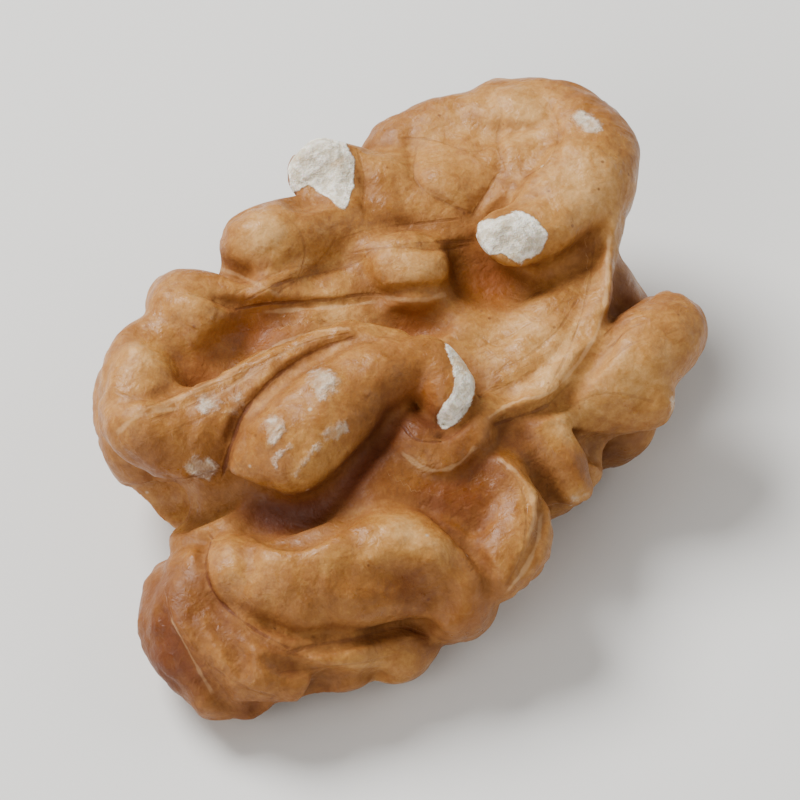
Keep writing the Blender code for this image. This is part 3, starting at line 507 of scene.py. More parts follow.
CHIPS = (
    Chip(((457, 389), (455, 380), (460, 370), (471, 364), (479, 368), (483, 376), (482, 388), (479, 397),
        (471, 391), (464, 386))),
    Chip(((531, 409), (533, 402), (540, 400), (548, 397), (556, 400), (561, 407), (558, 414), (549, 419),
        (543, 415), (536, 415))),
    Chip(((519, 451), (523, 453), (527, 457), (530, 462), (531, 468), (530, 474), (527, 479), (523, 483),
        (519, 485), (516, 483), (516, 479), (519, 475), (522, 470), (523, 465), (522, 460), (520, 456))),
    Chip(((464, 462), (470, 459), (476, 461), (478, 467), (475, 473), (470, 474), (465, 470)), 0.55),
    Chip(((446, 481), (452, 479), (457, 481), (458, 486), (455, 491), (450, 491), (448, 487)), 0.55),
    Chip(((469, 487), (474, 482), (480, 481), (482, 486), (477, 490), (471, 490)), 0.6),
    Chip(((450, 497), (453, 492), (457, 490), (460, 492), (456, 495), (454, 499), (457, 504),
        (453, 504)), 0.6),
    Chip(((458, 503), (462, 499), (465, 494), (468, 490), (472, 487), (471, 491), (466, 498),
        (461, 504)), 0.6),
    Chip(((420, 471), (427, 469), (432, 473), (430, 478), (424, 480), (420, 477)), 0.5),
    Chip(((434, 472), (439, 470), (440, 476), (437, 480), (434, 478)), 0.5),
    # a small white spot, partly bare flesh and partly a painted glint
    Chip(((571, 358), (573, 355), (577, 354), (580, 357), (585, 363), (581, 365), (576, 364),
        (572, 361)), 0.75),
    Chip(((415, 499), (420, 495), (427, 496), (430, 501), (426, 505), (419, 505)), 0.65),
    Chip(((567, 511), (573, 509), (577, 511), (573, 515), (569, 514)), 0.5),
    Chip(((609, 473), (613, 469), (614, 477), (610, 480)), 0.6),
)


class Wash(Enum):
    """Soft changes of colour, each with its own attribute: tone, partly painted highlight and shade; painted
    shade; painted glow.
    """

    TONE = "tint"
    SHADE = "shade"
    GLOW = "glow"


# Each row is a photo point, how far the change reaches in millimetres, and how strong it is.
WASHES: dict[Wash, tuple[Row, ...]] = {
    Wash.TONE: (
        # field, hook and column: paler papery skin, and painted shade in the hollow under the hook
        (520, 378, 4.5, 0.4), (552, 362, 3.0, 0.3), (574, 380, 2.5, 0.3), (550, 355, 2.0, 0.25),
        (500, 415, 2.5, 0.3), (508, 423, 1.2, 0.3), (575, 395, 1.6, 0.2), (495, 390, 1.6, -0.4),
        (577, 394, 1.8, 0.5), (560, 403, 1.6, 0.2), (575, 410, 1.2, -0.5),
        # wall and right lobe: paler papery skin, and painted shade under the right lobe and beside the pad
        (558, 456, 2.6, 0.5), (548, 445, 2.2, 0.45), (592, 460, 2.8, 0.65), (566, 500, 1.5, -0.1),
        (575, 500, 1.0, -0.4), (572, 512, 0.7, 0.5), (528, 430, 1.2, -0.3),
        # left end, rim and ridge: painted highlights on the knob and the left end's lobes, painted shade low
        # on the left end, and the paler membrane
        (447, 404, 1.6, 0.45), (446, 405, 1.3, 0.75), (418, 430, 1.5, 0.3), (402, 455, 1.2, 0.4),
        (398, 458, 2.2, 0.25), (400, 480, 1.3, 0.35), (402, 494, 1.6, -0.35), (400, 491, 1.8, -0.4),
        (430, 466, 1.6, 0.15), (476, 438, 1.8, 0.5), (478, 460, 1.6, 0.1),
        # front bulge, and the slope beside it: painted shade on the bulge's lower side, in the valley, the
        # cup and the wrap, and painted highlight on the collar
        (455, 500, 2.2, -0.1), (470, 500, 1.5, 0.35), (458, 510, 1.2, 0.25), (495, 476, 1.8, -0.6),
        (428, 490, 1.6, -0.2), (520, 512, 2.6, -0.8), (535, 505, 1.6, -0.5), (548, 488, 1.4, -0.6),
        (440, 447, 1.6, -0.4), (513, 484, 1.4, -0.6), (508, 498, 0.8, 0.5), (518, 499, 0.8, 0.5),
        (566, 488, 1.2, 0.35), (559, 486, 1.0, 0.3), (486, 524, 1.4, -0.2),
        # large front fold and cup edge: painted highlights along the fold's crest and the cup's edge, and
        # painted shade in its dents
        (480, 540, 3.0, -0.1), (500, 556, 2.0, -0.2), (548, 515, 1.5, 0.4), (500, 524, 2.0, 0.7),
        (470, 534, 1.0, 0.45), (488, 532, 1.1, 0.45), (504, 524, 1.2, 0.4), (519, 530, 1.0, 0.35),
        (452, 535, 0.8, 0.35), (442, 531, 0.6, -0.35), (504, 543, 1.0, -0.5), (508, 547, 1.2, -0.5),
        (435, 537, 1.3, 0.5), (415, 545, 1.6, -0.3),
        # small folds below it: painted shade on the lower lobes, and painted highlights on the ridges of the
        # sheet
        (425, 570, 2.4, -0.35), (456, 582, 2.8, -0.4), (407, 578, 2.8, -0.9), (485, 595, 2.5, -0.4),
        (400, 552, 1.8, -0.5), (412, 560, 1.4, -0.3), (424, 566, 0.9, 0.5), (427, 576, 0.8, 0.4),
        (447, 582, 1.0, 0.3), (424, 599, 1.2, 0.4),
        # painted shade under the right lobe
        (564, 495, 1.4, -0.4),
    ),
    Wash.SHADE: (
        # painted shade under the front bulge, on the outer lobe, beside the finger and behind the wall
        (443, 517, 1.3, 0.7), (455, 521, 1.4, 0.8), (468, 519, 1.4, 0.75), (479, 511, 1.3, 0.6),
        (486, 502, 1.2, 0.7), (493, 493, 1.2, 0.7), (499, 485, 0.9, 0.4), (403, 572, 2.2, 0.3),
        (412, 588, 1.8, 0.45), (410, 576, 1.5, 0.3), (462, 592, 1.4, 0.5), (441, 598, 1.2, 0.5),
        (588, 496, 1.8, 0.5), (592, 428, 2.0, 0.5), (474, 588, 1.0, 0.4),
        # painted shade below the hook, and inside the wrap
        (536, 422, 1.3, 0.3), (512, 485, 1.1, 0.35),
    ),
    Wash.GLOW: (
        # painted warm glow below the hook and the pad, in the valley, the cup and the wrap
        (538, 424, 1.7, 1.0), (507, 441, 1.5, 0.9), (444, 445, 1.8, 0.6), (418, 462, 1.6, 0.5),
        (527, 512, 2.2, 0.25), (510, 470, 1.2, 0.5), (494, 508, 1.6, 0.4), (530, 556, 1.4, 0.4),
    ),
}


# ---------------------------------------------------------------- numbers into shape
@dataclass
class SolidField:
    """Distances to a surface on a regular grid: negative inside, in millimetres."""

    low: Place
    high: Place
    step: float
    margin: float = 2.4
    knuckle: float = 2.3
    empty: float = 9.0
    axes: list[np.ndarray] = field(init=False)
    values: np.ndarray = field(init=False)

    def __post_init__(self) -> None:
        """Lay out the grid, empty."""
        self.axes = [
            np.arange(start, end + self.step, self.step, dtype=np.float32)
            for start, end in zip(self.low, self.high)
        ]
        self.values = np.full([len(axis) for axis in self.axes], self.empty, np.float32)

    def block(self, low: np.ndarray, high: np.ndarray) -> tuple[tuple[slice, ...], list[np.ndarray]]:
        """The part of the grid inside a box.

        Args:
            low: The box's lowest corner.
            high: The box's highest corner.

        Returns:
            The slices of that part, and its x, y and z values ready to be combined.
        """
        slices = []
        coordinates = []
        for number, axis in enumerate(self.axes):
            start = int(np.searchsorted(axis, low[number]))
            end = int(np.searchsorted(axis, high[number]))
            slices.append(slice(start, max(end, start + 1)))
            shape = [1, 1, 1]
            shape[number] = -1
            coordinates.append(axis[slices[-1]].reshape(shape))
        return tuple(slices), coordinates

    def merge(self, slices: tuple[slice, ...], distance: np.ndarray, blend: float, carve: bool) -> None:
        """Add a shape to the field, or take it away, with a rounded joint.

        Args:
            slices: The part of the grid that the shape reaches.
            distance: Distances to the shape there.
            blend: Size of the rounding at the joint.
            carve: Take the shape away.
        """
        sign = -1.0 if carve else 1.0
        old = self.values[slices] * sign
        share = np.clip(0.5 + 0.5 * (distance - old) / blend, 0.0, 1.0)
        joined = distance + (old - distance) * share - blend * share * (1.0 - share)
        self.values[slices] = joined * sign

    def ball(self, ball: Ball, carve: bool = False) -> None:
        """Add or carve a flattened ball.

        Args:
            ball: The ball.
            carve: Take it away.
        """
        centre = np.array(ball.centre)
        sizes = np.array(ball.half_sizes)
        reach = sizes + self.margin
        slices, places = self.block(centre - reach, centre + reach)
        first = sum(((places[i] - centre[i]) / sizes[i]) ** 2 for i in range(3))
        second = sum(((places[i] - centre[i]) / sizes[i] ** 2) ** 2 for i in range(3))
        distance = (first - np.sqrt(first)) / np.sqrt(second + TINY)
        self.merge(slices, distance.astype(np.float32), ball.blend, carve)

    def fold(self, fold: Fold, carve: bool = False) -> None:
        """Add or carve a fold.

        Args:
            fold: The fold.
            carve: Take it away.
        """
        path = smooth_path(fold.points, fold.steps)
        path[:, 3] *= 1.0 + fold.knuckles * lattice_noise(path[:, :3] / self.knuckle, 9)
        reach = path[:, 3].max() + self.margin
        slices, places = self.block(path[:, :3].min(0) - reach, path[:, :3].max(0) + reach)
        distance = np.float32(np.inf)
        for start, end in zip(path[:-1], path[1:]):
            along = end[:3] - start[:3]
            length = float(along @ along) + TINY
            offset = [places[i] - start[i] for i in range(3)]
            share = np.clip(sum(offset[i] * along[i] for i in range(3)) / length, 0.0, 1.0)
            square = sum((offset[i] - share * along[i]) ** 2 for i in range(3))
            piece = np.sqrt(square) - (start[3] + share * (end[3] - start[3]))
            distance = np.minimum(distance, piece)
        self.merge(slices, distance.astype(np.float32), fold.blend, carve)

    def sample(self, places: np.ndarray) -> np.ndarray:
        """Distances at any places, between the grid points.

        Args:
            places: Rows of x, y, z in millimetres.

        Returns:
            One distance for each row.
        """
        scaled = (places - np.array(self.low)) / self.step
        limit = np.array(self.values.shape) - 2
        base = np.clip(np.floor(scaled).astype(int), 0, limit)
        part = np.clip(scaled - base, 0.0, 1.0)
        total = np.zeros(len(places))
        for corner in range(8):
            bits = np.array([corner & 1, corner >> 1 & 1, corner >> 2 & 1])
            weight = np.prod(np.where(bits, part, 1.0 - part), axis=1)
            index = base + bits
            total += weight * self.values[index[:, 0], index[:, 1], index[:, 2]]
        return total

    def surface(self) -> tuple[np.ndarray, np.ndarray]:
        """The surface where the distance is nought, as an even mesh of four-sided faces.

        Returns:
            Points, and rows of four point numbers.
        """
        values = self.values
        inside = values < 0
        cells = tuple(size - 1 for size in values.shape)
        count = np.zeros(cells, np.int8)
        corners = [(i, j, k) for i in (0, 1) for j in (0, 1) for k in (0, 1)]
        for i, j, k in corners:
            count += inside[i:cells[0] + i, j:cells[1] + j, k:cells[2] + k]
        crossed = (count > 0) & (count < 8)
        number = np.full(cells, -1, np.int64)
        places = np.argwhere(crossed)
        number[crossed] = np.arange(len(places))
        total = np.zeros((len(places), 3))
        crossings = np.zeros(len(places))
        for axis in range(3):
            step = np.eye(3, dtype=int)[axis]
            for corner in corners:
                if corner[axis]:
                    continue
                here = places + np.array(corner)
                there = here + step
                a = values[here[:, 0], here[:, 1], here[:, 2]]
                b = values[there[:, 0], there[:, 1], there[:, 2]]
                crossing = (a < 0) != (b < 0)
                share = np.where(crossing, a / np.where(crossing, a - b, 1.0), 0.0)
                spot = np.array(corner) + share[:, None] * step
                total[crossing] += spot[crossing]
                crossings[crossing] += 1
        points = (places + total / crossings[:, None]) * self.step + np.array(self.low)
        faces = [self.faces_across(axis, inside, number) for axis in range(3)]
        return points, np.vstack(faces)

    @staticmethod
    def faces_across(axis: int, inside: np.ndarray, number: np.ndarray) -> np.ndarray:
        """Faces that cross the grid's lines along one axis.

        Args:
            axis: 0, 1 or 2.
            inside: Which grid points are inside.
            number: The point number of each cell.

        Returns:
            Rows of four point numbers, facing out.
        """
        second, third = (axis + 1) % 3, (axis + 2) % 3
        size = inside.shape
        here = [slice(None)] * 3
        there = [slice(None)] * 3
        here[axis] = slice(0, size[axis] - 1)
        there[axis] = slice(1, size[axis])
        first = inside[tuple(here)]
        edges = np.argwhere(first != inside[tuple(there)])
        keep = (edges[:, second] > 0) & (edges[:, third] > 0)
        keep &= (edges[:, second] < size[second] - 1) & (edges[:, third] < size[third] - 1)
        edges = edges[keep]
        back = np.eye(3, dtype=int)
        ring = [edges - back[second] - back[third], edges - back[third], edges, edges - back[second]]
        quads = np.stack([number[tuple(cells.T)] for cells in ring], 1)
        outward = first[tuple(edges.T)]
        quads[~outward] = quads[~outward][:, ::-1]
        return quads


def smooth_path(points: tuple[Row, ...], steps: int) -> np.ndarray:
    """A smooth curve through every given point.

    Args:
        points: Rows of x, y, z, radius.
        steps: Steps between two given points.

    Returns:
        Rows of x, y, z, radius along the curve.
    """
    rows = np.array(points, float)
    rows = np.vstack([2 * rows[0] - rows[1], rows, 2 * rows[-1] - rows[-2]])
    path = []
    for before, start, end, after in zip(rows, rows[1:], rows[2:], rows[3:]):
        for t in np.arange(steps) / steps:
            path.append(0.5 * (
                2 * start
                + (end - before) * t
                + (2 * before - 5 * start + 4 * end - after) * t ** 2
                + (3 * start - before - 3 * end + after) * t ** 3
            ))
    path.append(rows[-2])
    return np.array(path)


def lattice_noise(places: np.ndarray, seed: int) -> np.ndarray:
    """Soft random hills, the same on every run.

    Args:
        places: Rows of x, y, z; one hill is about as wide as 1.
        seed: Chooses the pattern.

    Returns:
        One value between about -1 and 1 for each row.
    """
    base = np.floor(places).astype(np.int64)
    part = places - base
    ease = part * part * (3.0 - 2.0 * part)
    for_x, for_y, for_z, for_seed = SCATTER
    total = np.zeros(len(places))
    for corner in range(8):
        bits = np.array([corner & 1, corner >> 1 & 1, corner >> 2 & 1])
        spot = base + bits
        mixed = spot[:, 0] * for_x ^ spot[:, 1] * for_y ^ spot[:, 2] * for_z ^ seed * for_seed
        mixed = (mixed ^ mixed >> 13) * STIR[0] & KEPT_BITS
        mixed = (mixed ^ mixed >> 16) * STIR[1] & KEPT_BITS
        value = (mixed >> 8 & 0xFFFF) / 32767.5 - 1.0
        total += value * np.prod(np.where(bits, ease, 1.0 - ease), axis=1)
    return total


@dataclass
class Skin:
    """Points, faces and outward directions of a mesh of four-sided faces, in millimetres."""

    points: np.ndarray
    faces: np.ndarray

    def edges(self) -> np.ndarray:
        """Pairs of neighbouring points, each pair both ways round.

        Returns:
            Rows of two point numbers.
        """
        pairs = np.vstack([self.faces[:, [i, (i + 1) % 4]] for i in range(4)])
        return np.vstack([pairs, pairs[:, ::-1]])

    def average(self, values: np.ndarray, rounds: int, share: float = 0.5) -> np.ndarray:
        """Even out values over neighbouring points.

        Args:
            values: One row for each point.
            rounds: How often.
            share: How far towards the neighbours' mean each time.

        Returns:
            The evened values.
        """
        pairs = self.edges()
        degree = np.bincount(pairs[:, 0], minlength=len(self.points))
        values = values.reshape(len(self.points), -1)
        for _ in range(rounds):
            sums = np.stack([
                np.bincount(pairs[:, 0], weights=values[pairs[:, 1], column], minlength=len(self.points))
                for column in range(values.shape[1])
            ], 1)
            values = values + share * (sums / degree[:, None] - values)
        return values

    def normals(self) -> np.ndarray:
        """Outward direction at each point.

        Returns:
            Rows of x, y, z.
        """
        corners = self.points[self.faces]
        across = np.cross(corners[:, 2] - corners[:, 0], corners[:, 3] - corners[:, 1])
        total = np.zeros_like(self.points)
        for i in range(4):
            for axis in range(3):
                total[:, axis] += np.bincount(
                    self.faces[:, i], weights=across[:, axis], minlength=len(self.points))
        return total / np.maximum(np.linalg.norm(total, axis=1, keepdims=True), TINY)


@dataclass(frozen=True)
class Fit:
    """Scale and shift that bring a shape to the kernel's length, width and height."""

    scale: np.ndarray
    shift: np.ndarray

    @staticmethod
    def of(points: np.ndarray, foot_cut: float) -> "Fit":
        """The fit for a shape.

        Args:
            points: Rows of x, y, z in millimetres.
            foot_cut: How much of the feet is cut off flat.

        Returns:
            The scale and shift.
        """
        low, high = (np.array(corner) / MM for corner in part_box(NODE))
        low[2] -= foot_cut
        start, end = points.min(0), points.max(0)
        scale = (high - low) / (end - start)
        return Fit(scale, low - start * scale)

    def apply(self, points: np.ndarray) -> np.ndarray:
        """Fit points, and cut the feet flat.

        Args:
            points: Rows of x, y, z in millimetres.

        Returns:
            The fitted rows.
        """
        fitted = points * self.scale + self.shift
        fitted[:, 2] = np.maximum(fitted[:, 2], 0.0)
        return fitted

    def undo(self, points: np.ndarray) -> np.ndarray:
        """Points before the fit."""
        return (points - self.shift) / self.scale


# ---------------------------------------------------------------- the view the marks are placed from
@dataclass(frozen=True)
class PhotoView:
    """The direction the kernel is seen from, and the scale of its photo points."""

    azimuth: float = -33.0
    elevation: float = 50.0
    per_mm: float = 8.0
    middle: Spot = (497.0, 462.0)
    aim: Place = (0.59, 1.35, 6.28)

    def directions(self) -> tuple[np.ndarray, np.ndarray, np.ndarray]:
        """The view's own directions.

        Returns:
            Right, up and towards the viewer, each of length 1.
        """
        turn = math.radians(self.azimuth)
        tilt = math.radians(self.elevation)
        back = np.array([math.sin(turn) * math.cos(tilt), -math.cos(turn) * math.cos(tilt), math.sin(tilt)])
        right = np.array([math.cos(turn), math.sin(turn), 0.0])
        return right, np.cross(back, right), back

    def place(self, spot: Spot) -> np.ndarray:
        """A point in the plane through the aim that shows at a photo point.

        Args:
            spot: The photo point.

        Returns:
            Its x, y, z in millimetres.
        """
        right, up, _ = self.directions()
        across, rise = self.flat(spot)
        return np.array(self.aim) + right * across + up * rise

    def flatten(self, places: np.ndarray) -> np.ndarray:
        """Where places show, in millimetres across and up.

        Args:
            places: Rows of x, y, z.

        Returns:
            Rows of across, up and depth towards the viewer.
        """
        right, up, back = self.directions()
        offset = places - np.array(self.aim)
        return np.stack([offset @ right, offset @ up, offset @ back], 1)

    def flat(self, spot: Spot) -> np.ndarray:
        """A photo point in millimetres across and up."""
        return (np.array(spot) - self.middle) / (self.per_mm, -self.per_mm)


@dataclass
class TouchLayer:
    """Lays small forms where lines of sight meet a surface. Sizes are in millimetres."""

    solid: SolidField
    fit: Fit
    view: PhotoView
    near: float = 18.0
    far: float = -16.0
    stride: float = 0.08
    step: float = 1.3
    steps: int = 4
    probe: float = 0.3

    def __post_init__(self) -> None:
        """Keep the surface as it is now."""
        self.frozen = SolidField(self.solid.low, self.solid.high, self.solid.step)
        self.frozen.values = self.solid.values.copy()

    def meet(self, spots: np.ndarray) -> tuple[np.ndarray, np.ndarray, np.ndarray]:
        """Where lines of sight first meet the surface.

        Args:
            spots: Rows of photo points.

        Returns:
            Which of them meet it, the places, and the outward directions there.
        """
        back = self.view.directions()[2]
        steps = np.arange(self.near, self.far, -self.stride)
        starts = np.array([self.view.place((u, v)) for u, v in spots])
        rays = self.fit.undo(starts[:, None] + back * steps[None, :, None])
        inside = self.frozen.sample(rays.reshape(-1, 3)).reshape(len(spots), -1) < 0.0
        found = inside.any(1)
        places = rays[np.arange(len(spots)), inside.argmax(1)]
        slopes = np.stack([
            self.frozen.sample(places + self.probe * axis) - self.frozen.sample(places - self.probe * axis)
            for axis in np.eye(3)
        ], 1)
        return found, places, slopes / np.maximum(np.linalg.norm(slopes, axis=1, keepdims=True), TINY)

    def lay(self, touch: Touch) -> list[Fold]:
        """A small form brought onto the surface.

        Args:
            touch: The form.

        Returns:
            The folds to add or carve; a form that crosses a step in the surface comes in parts.
        """
        path = smooth_path(touch.points, self.steps) if len(touch.points) > 1 else np.array(touch.points * 2)
        found, places, normals = self.meet(path[:, :2])
        radii = path[:, 2]
        rises = radii - path[:, 3] if touch.carve else path[:, 3] - radii
        rows = np.column_stack([places + normals * rises[:, None], radii])
        leaps = np.linalg.norm(np.diff(places, axis=0), axis=1) > self.step
        cuts = np.flatnonzero(leaps | ~found[1:] | ~found[:-1]) + 1
        parts = [part for part in np.split(np.arange(len(rows)), cuts) if len(part) > 1 and found[part].all()]
        return [Fold("touch", touch.blend, tuple(map(tuple, rows[part])), steps=1) for part in parts]


@dataclass
class SkinMarks:
    """Places lines, chips and washes on the skin. Sizes are in millimetres."""

    skin: Skin
    view: PhotoView
    reach: float = 1.2
    steps: int = 12
    shortest: float = 1e-4
    leap: float = 1.2
    fade: float = 0.25
    depth: float = 2.6
    turned: float = -0.2
    away: float = 60.0

    def __post_init__(self) -> None:
        """Make the skin searchable."""
        self.tree = BVHTree.FromPolygons(self.skin.points.tolist(), self.skin.faces.tolist())
        self.flat = self.view.flatten(self.skin.points)
        self.facing = self.skin.normals() @ self.view.directions()[2]

    def cast(self, spot: Spot) -> tuple[np.ndarray, np.ndarray] | None:
        """Find the skin at a photo point.

        Args:
            spot: The photo point.

        Returns:
            The place and the outward direction there, or None beside the kernel.
        """
        back = Vector(self.view.directions()[2])
        start = Vector(self.view.place(spot)) + back * self.away
        place, normal, _, _ = self.tree.ray_cast(start, -back)
        if place is None:
            return None
        return np.array(place), np.array(normal)

    def trace(self, line: Line) -> tuple[np.ndarray, np.ndarray, np.ndarray]:
        """Lay a line on the skin.

        Args:
            line: The line.

        Returns:
            Places on the skin a short way apart, the outward directions there, and the strengths.
        """
        rows = tuple((u, v, 0.0, 0.0) for u, v in line.points)
        path = smooth_path(rows, self.steps)[:, :2]
        hits = [self.cast((u, v)) for u, v in path]
        kept = [index for index, hit in enumerate(hits) if hit is not None]
        places, normals = (np.array([hits[index][part] for index in kept]) for part in (0, 1))
        share = np.linspace(0.0, 1.0, len(path))[kept]
        return places, normals, line.start + (line.end - line.start) * share

    def lines(self, mark: Mark) -> tuple[np.ndarray, np.ndarray]:
        """Signed distance to the nearest line of a kind, and its strength.

        Args:
            mark: The kind of line.

        Returns:
            Distances in millimetres, and strengths from 0 to 1, one for each point.
        """
        points = self.skin.points
        nearest = np.full(len(points), self.reach)
        signed = np.full(len(points), self.reach)
        strength = np.zeros(len(points))
        for line in LINES[mark]:
            places, normals, strengths = self.trace(line)
            low = places.min(0) - self.reach
            high = places.max(0) + self.reach
            near = np.flatnonzero(((points > low) & (points < high)).all(1))
            for index in range(len(places) - 1):
                start, end = places[index], places[index + 1]
                along = end - start
                length = np.linalg.norm(along)
                if length < self.shortest or length > self.leap:
                    continue
                direction = along / length
                side = np.cross(normals[index], direction)
                side /= max(np.linalg.norm(side), TINY)
                offset = points[near] - start
                run = offset @ direction
                over = np.maximum(np.maximum(-run, run - length), 0.0)
                apart = offset @ side
                rise = offset @ normals[index]
                total = np.sqrt(apart ** 2 + over ** 2 + rise ** 2)
                better = total < nearest[near]
                chosen = near[better]
                nearest[chosen] = total[better]
                signed[chosen] = apart[better]
                strength[chosen] = strengths[index] * np.clip(1.0 - over[better] / self.fade, 0.0, 1.0)
        return signed, strength

    def chips(self) -> tuple[np.ndarray, np.ndarray]:
        """Distances to the broken places, and how bare they are.

        Returns:
            How far each point lies inside one, in millimetres and negative outside, and from 0 to 1.
        """
        result = np.full(len(self.skin.points), -self.reach)
        bare = np.zeros(len(self.skin.points))
        for chip in CHIPS:
            outline = np.array([self.view.flat(spot) for spot in chip.outline])
            middle = outline.mean(0)
            hit = self.cast(np.mean(chip.outline, 0))
            if hit is None:
                continue
            depth = self.view.flatten(hit[0][None])[0, 2]
            reach = np.linalg.norm(outline - middle, axis=1).max() + self.reach
            near = np.linalg.norm(self.flat[:, :2] - middle, axis=1) < reach
            near &= (np.abs(self.flat[:, 2] - depth) < self.depth) & (self.facing > self.turned)
            index = np.flatnonzero(near)
            inward = inside_outline(self.flat[index, :2], outline)
            closer = inward > result[index]
            result[index[closer]] = inward[closer]
            bare[index[closer]] = chip.bare
        return result, bare

    def wash(self, wash: Wash) -> np.ndarray:
        """One soft change of colour over the skin.

        Args:
            wash: Which one.

        Returns:
            How strong it is at each point.
        """
        total = np.zeros(len(self.skin.points))
        for u, v, reach, amount in WASHES[wash]:
            hit = self.cast((u, v))
            if hit is not None:
                apart = np.linalg.norm(self.skin.points - hit[0], axis=1) / reach
                total += amount * np.exp(-apart ** 2)
        return total


def inside_outline(places: np.ndarray, outline: np.ndarray) -> np.ndarray:
    """Distance to a closed outline, positive inside it.

    Args:
        places: Rows of across and up.
        outline: The outline's corners.

    Returns:
        One distance for each place.
    """
    nearest = np.full(len(places), np.inf)
    inside = np.zeros(len(places), bool)
    for start, end in zip(outline, np.roll(outline, -1, axis=0)):
        along = end - start
        offset = places - start
        share = np.clip(offset @ along / (along @ along), 0.0, 1.0)
        nearest = np.minimum(nearest, np.linalg.norm(offset - share[:, None] * along, axis=1))
        crosses = (start[1] > places[:, 1]) != (end[1] > places[:, 1])
        reach = (end[0] - start[0]) * (places[:, 1] - start[1]) / (end[1] - start[1] + TINY) + start[0]
        inside ^= crosses & (places[:, 0] < reach)
    return np.where(inside, nearest, -nearest)


# ---------------------------------------------------------------- materials
@dataclass
class Nodes:
    """Places and joins the nodes of one node tree."""

    tree: bpy.types.NodeTree

    def add(self, kind: str, **values: object) -> bpy.types.Node:
        """A new node.

        Args:
            kind: The node's type.
            values: Its settings.

        Returns:
            The node.
        """
        node = self.tree.nodes.new(kind)
        for name, value in values.items():
            setattr(node, name, value)
        return node

    def join(self, source: Socket, target: Socket) -> None:
        """Join two sockets."""
        self.tree.links.new(source, target)

    def feed(self, socket: Socket, value: object) -> None:
        """Fill a socket.

        Args:
            socket: The socket to fill.
            value: A socket to join to it, a plain value, or None to leave it as it is.
        """
        if isinstance(value, bpy.types.NodeSocket):
            self.join(value, socket)
        elif value is not None:
            socket.default_value = value

    def math(self, operation: str, first: object, second: object = None, clamp: bool = False) -> Socket:
        """The result of a Math node.

        Args:
            operation: The Math node's operation.
            first: First value or socket.
            second: Second value or socket.
            clamp: Keep the result between 0 and 1.

        Returns:
            The result's socket.
        """
        node = self.add("ShaderNodeMath", operation=operation, use_clamp=clamp)
        self.feed(node.inputs[0], first)
        self.feed(node.inputs[1], second)
        return node.outputs[0]

    def ramp(self, value: object, low: float, high: float, out_low: object = 0.0, out_high: object = 1.0,
             smooth: bool = True) -> Socket:
        """Map a range of values to another.

        Args:
            value: The value to map.
            low: Where the range starts.
            high: Where it ends.
            out_low: Result at the start.
            out_high: Result at the end.
            smooth: Ease in and out.

        Returns:
            The result's socket.
        """
        node = self.add("ShaderNodeMapRange", interpolation_type="SMOOTHSTEP" if smooth else "LINEAR")
        for name, filling in (("Value", value), ("From Min", low), ("From Max", high), ("To Min", out_low),
                              ("To Max", out_high)):
            self.feed(node.inputs[name], filling)
        return node.outputs["Result"]

    def mix(self, share: object, first: object, second: object) -> Socket:
        """Mix two colours.

        Args:
            share: How much of the second.
            first: First colour.
            second: Second colour.

        Returns:
            The mixed colour's socket.
        """
        node = self.add("ShaderNodeMix", data_type="RGBA")
        for number, filling in ((0, share), (6, first), (7, second)):
            self.feed(node.inputs[number], filling)
        return node.outputs[2]

    def attribute(self, name: str) -> Socket:
        """A value stored on the mesh."""
        return self.add("ShaderNodeAttribute", attribute_name=name, attribute_type="GEOMETRY").outputs["Fac"]


class Surface(Nodes):
    """The nodes of a new material, with its shader and the place its patterns are read at."""

    def __init__(self, name: str) -> None:
        """Start the material.

        Args:
            name: The material's name.
        """
        self.material = bpy.data.materials.new(name)
        self.material.use_nodes = True
        super().__init__(self.material.node_tree)
        self.shader = self.tree.nodes["Principled BSDF"]
        self.place = self.add("ShaderNodeTexCoord").outputs["Object"]

    def noise(self, scale: float, detail: float, rough: float = 0.5, bend: float = 0.0) -> Socket:
        """Soft random spots.

        Args:
            scale: Spots in a metre.
            detail: How many finer layers.
            rough: How strong the finer layers are.
            bend: How far the pattern is bent.

        Returns:
            The pattern's socket, from 0 to 1.
        """
        node = self.add("ShaderNodeTexNoise")
        self.join(self.place, node.inputs["Vector"])
        for name, value in (("Scale", scale), ("Detail", detail), ("Roughness", rough), ("Distortion", bend)):
            node.inputs[name].default_value = value
        return node.outputs["Fac"]

    def cells(self, place: Socket, scale: float, feature: str) -> bpy.types.Node:
        """Random cells.

        Args:
            place: Where they are read.
            scale: Cells in a metre.
            feature: What the node gives: F1 or DISTANCE_TO_EDGE.

        Returns:
            The node.
        """
        node = self.add("ShaderNodeTexVoronoi", feature=feature)
        self.join(place, node.inputs["Vector"])
        node.inputs["Scale"].default_value = scale
        return node

    def bump(self, height: Socket, strength: float, distance: float) -> None:
        """Tilt the surface by a height.

        Args:
            height: The height, from 0 to about 1.
            strength: How strongly it shows.
            distance: How far a height of 1 stands out, in metres.
        """
        node = self.add("ShaderNodeBump")
        node.inputs["Strength"].default_value = strength
        node.inputs["Distance"].default_value = distance
        self.join(height, node.inputs["Height"])
        self.join(node.outputs["Normal"], self.shader.inputs["Normal"])


def colour(red: float, green: float, blue: float) -> Paint:
    """A colour as the shader wants it.

    Args:
        red: Red as a screen shows it, 0 to 255.
        green: Green in the same way.
        blue: Blue in the same way.

    Returns:
        Red, green and blue in even steps of light, and full cover.
    """
    shares = [value / 255.0 for value in (red, green, blue)]
    linear = [share / 12.92 if share <= 0.04045 else ((share + 0.055) / 1.055) ** 2.4 for share in shares]
    return (*linear, 1.0)


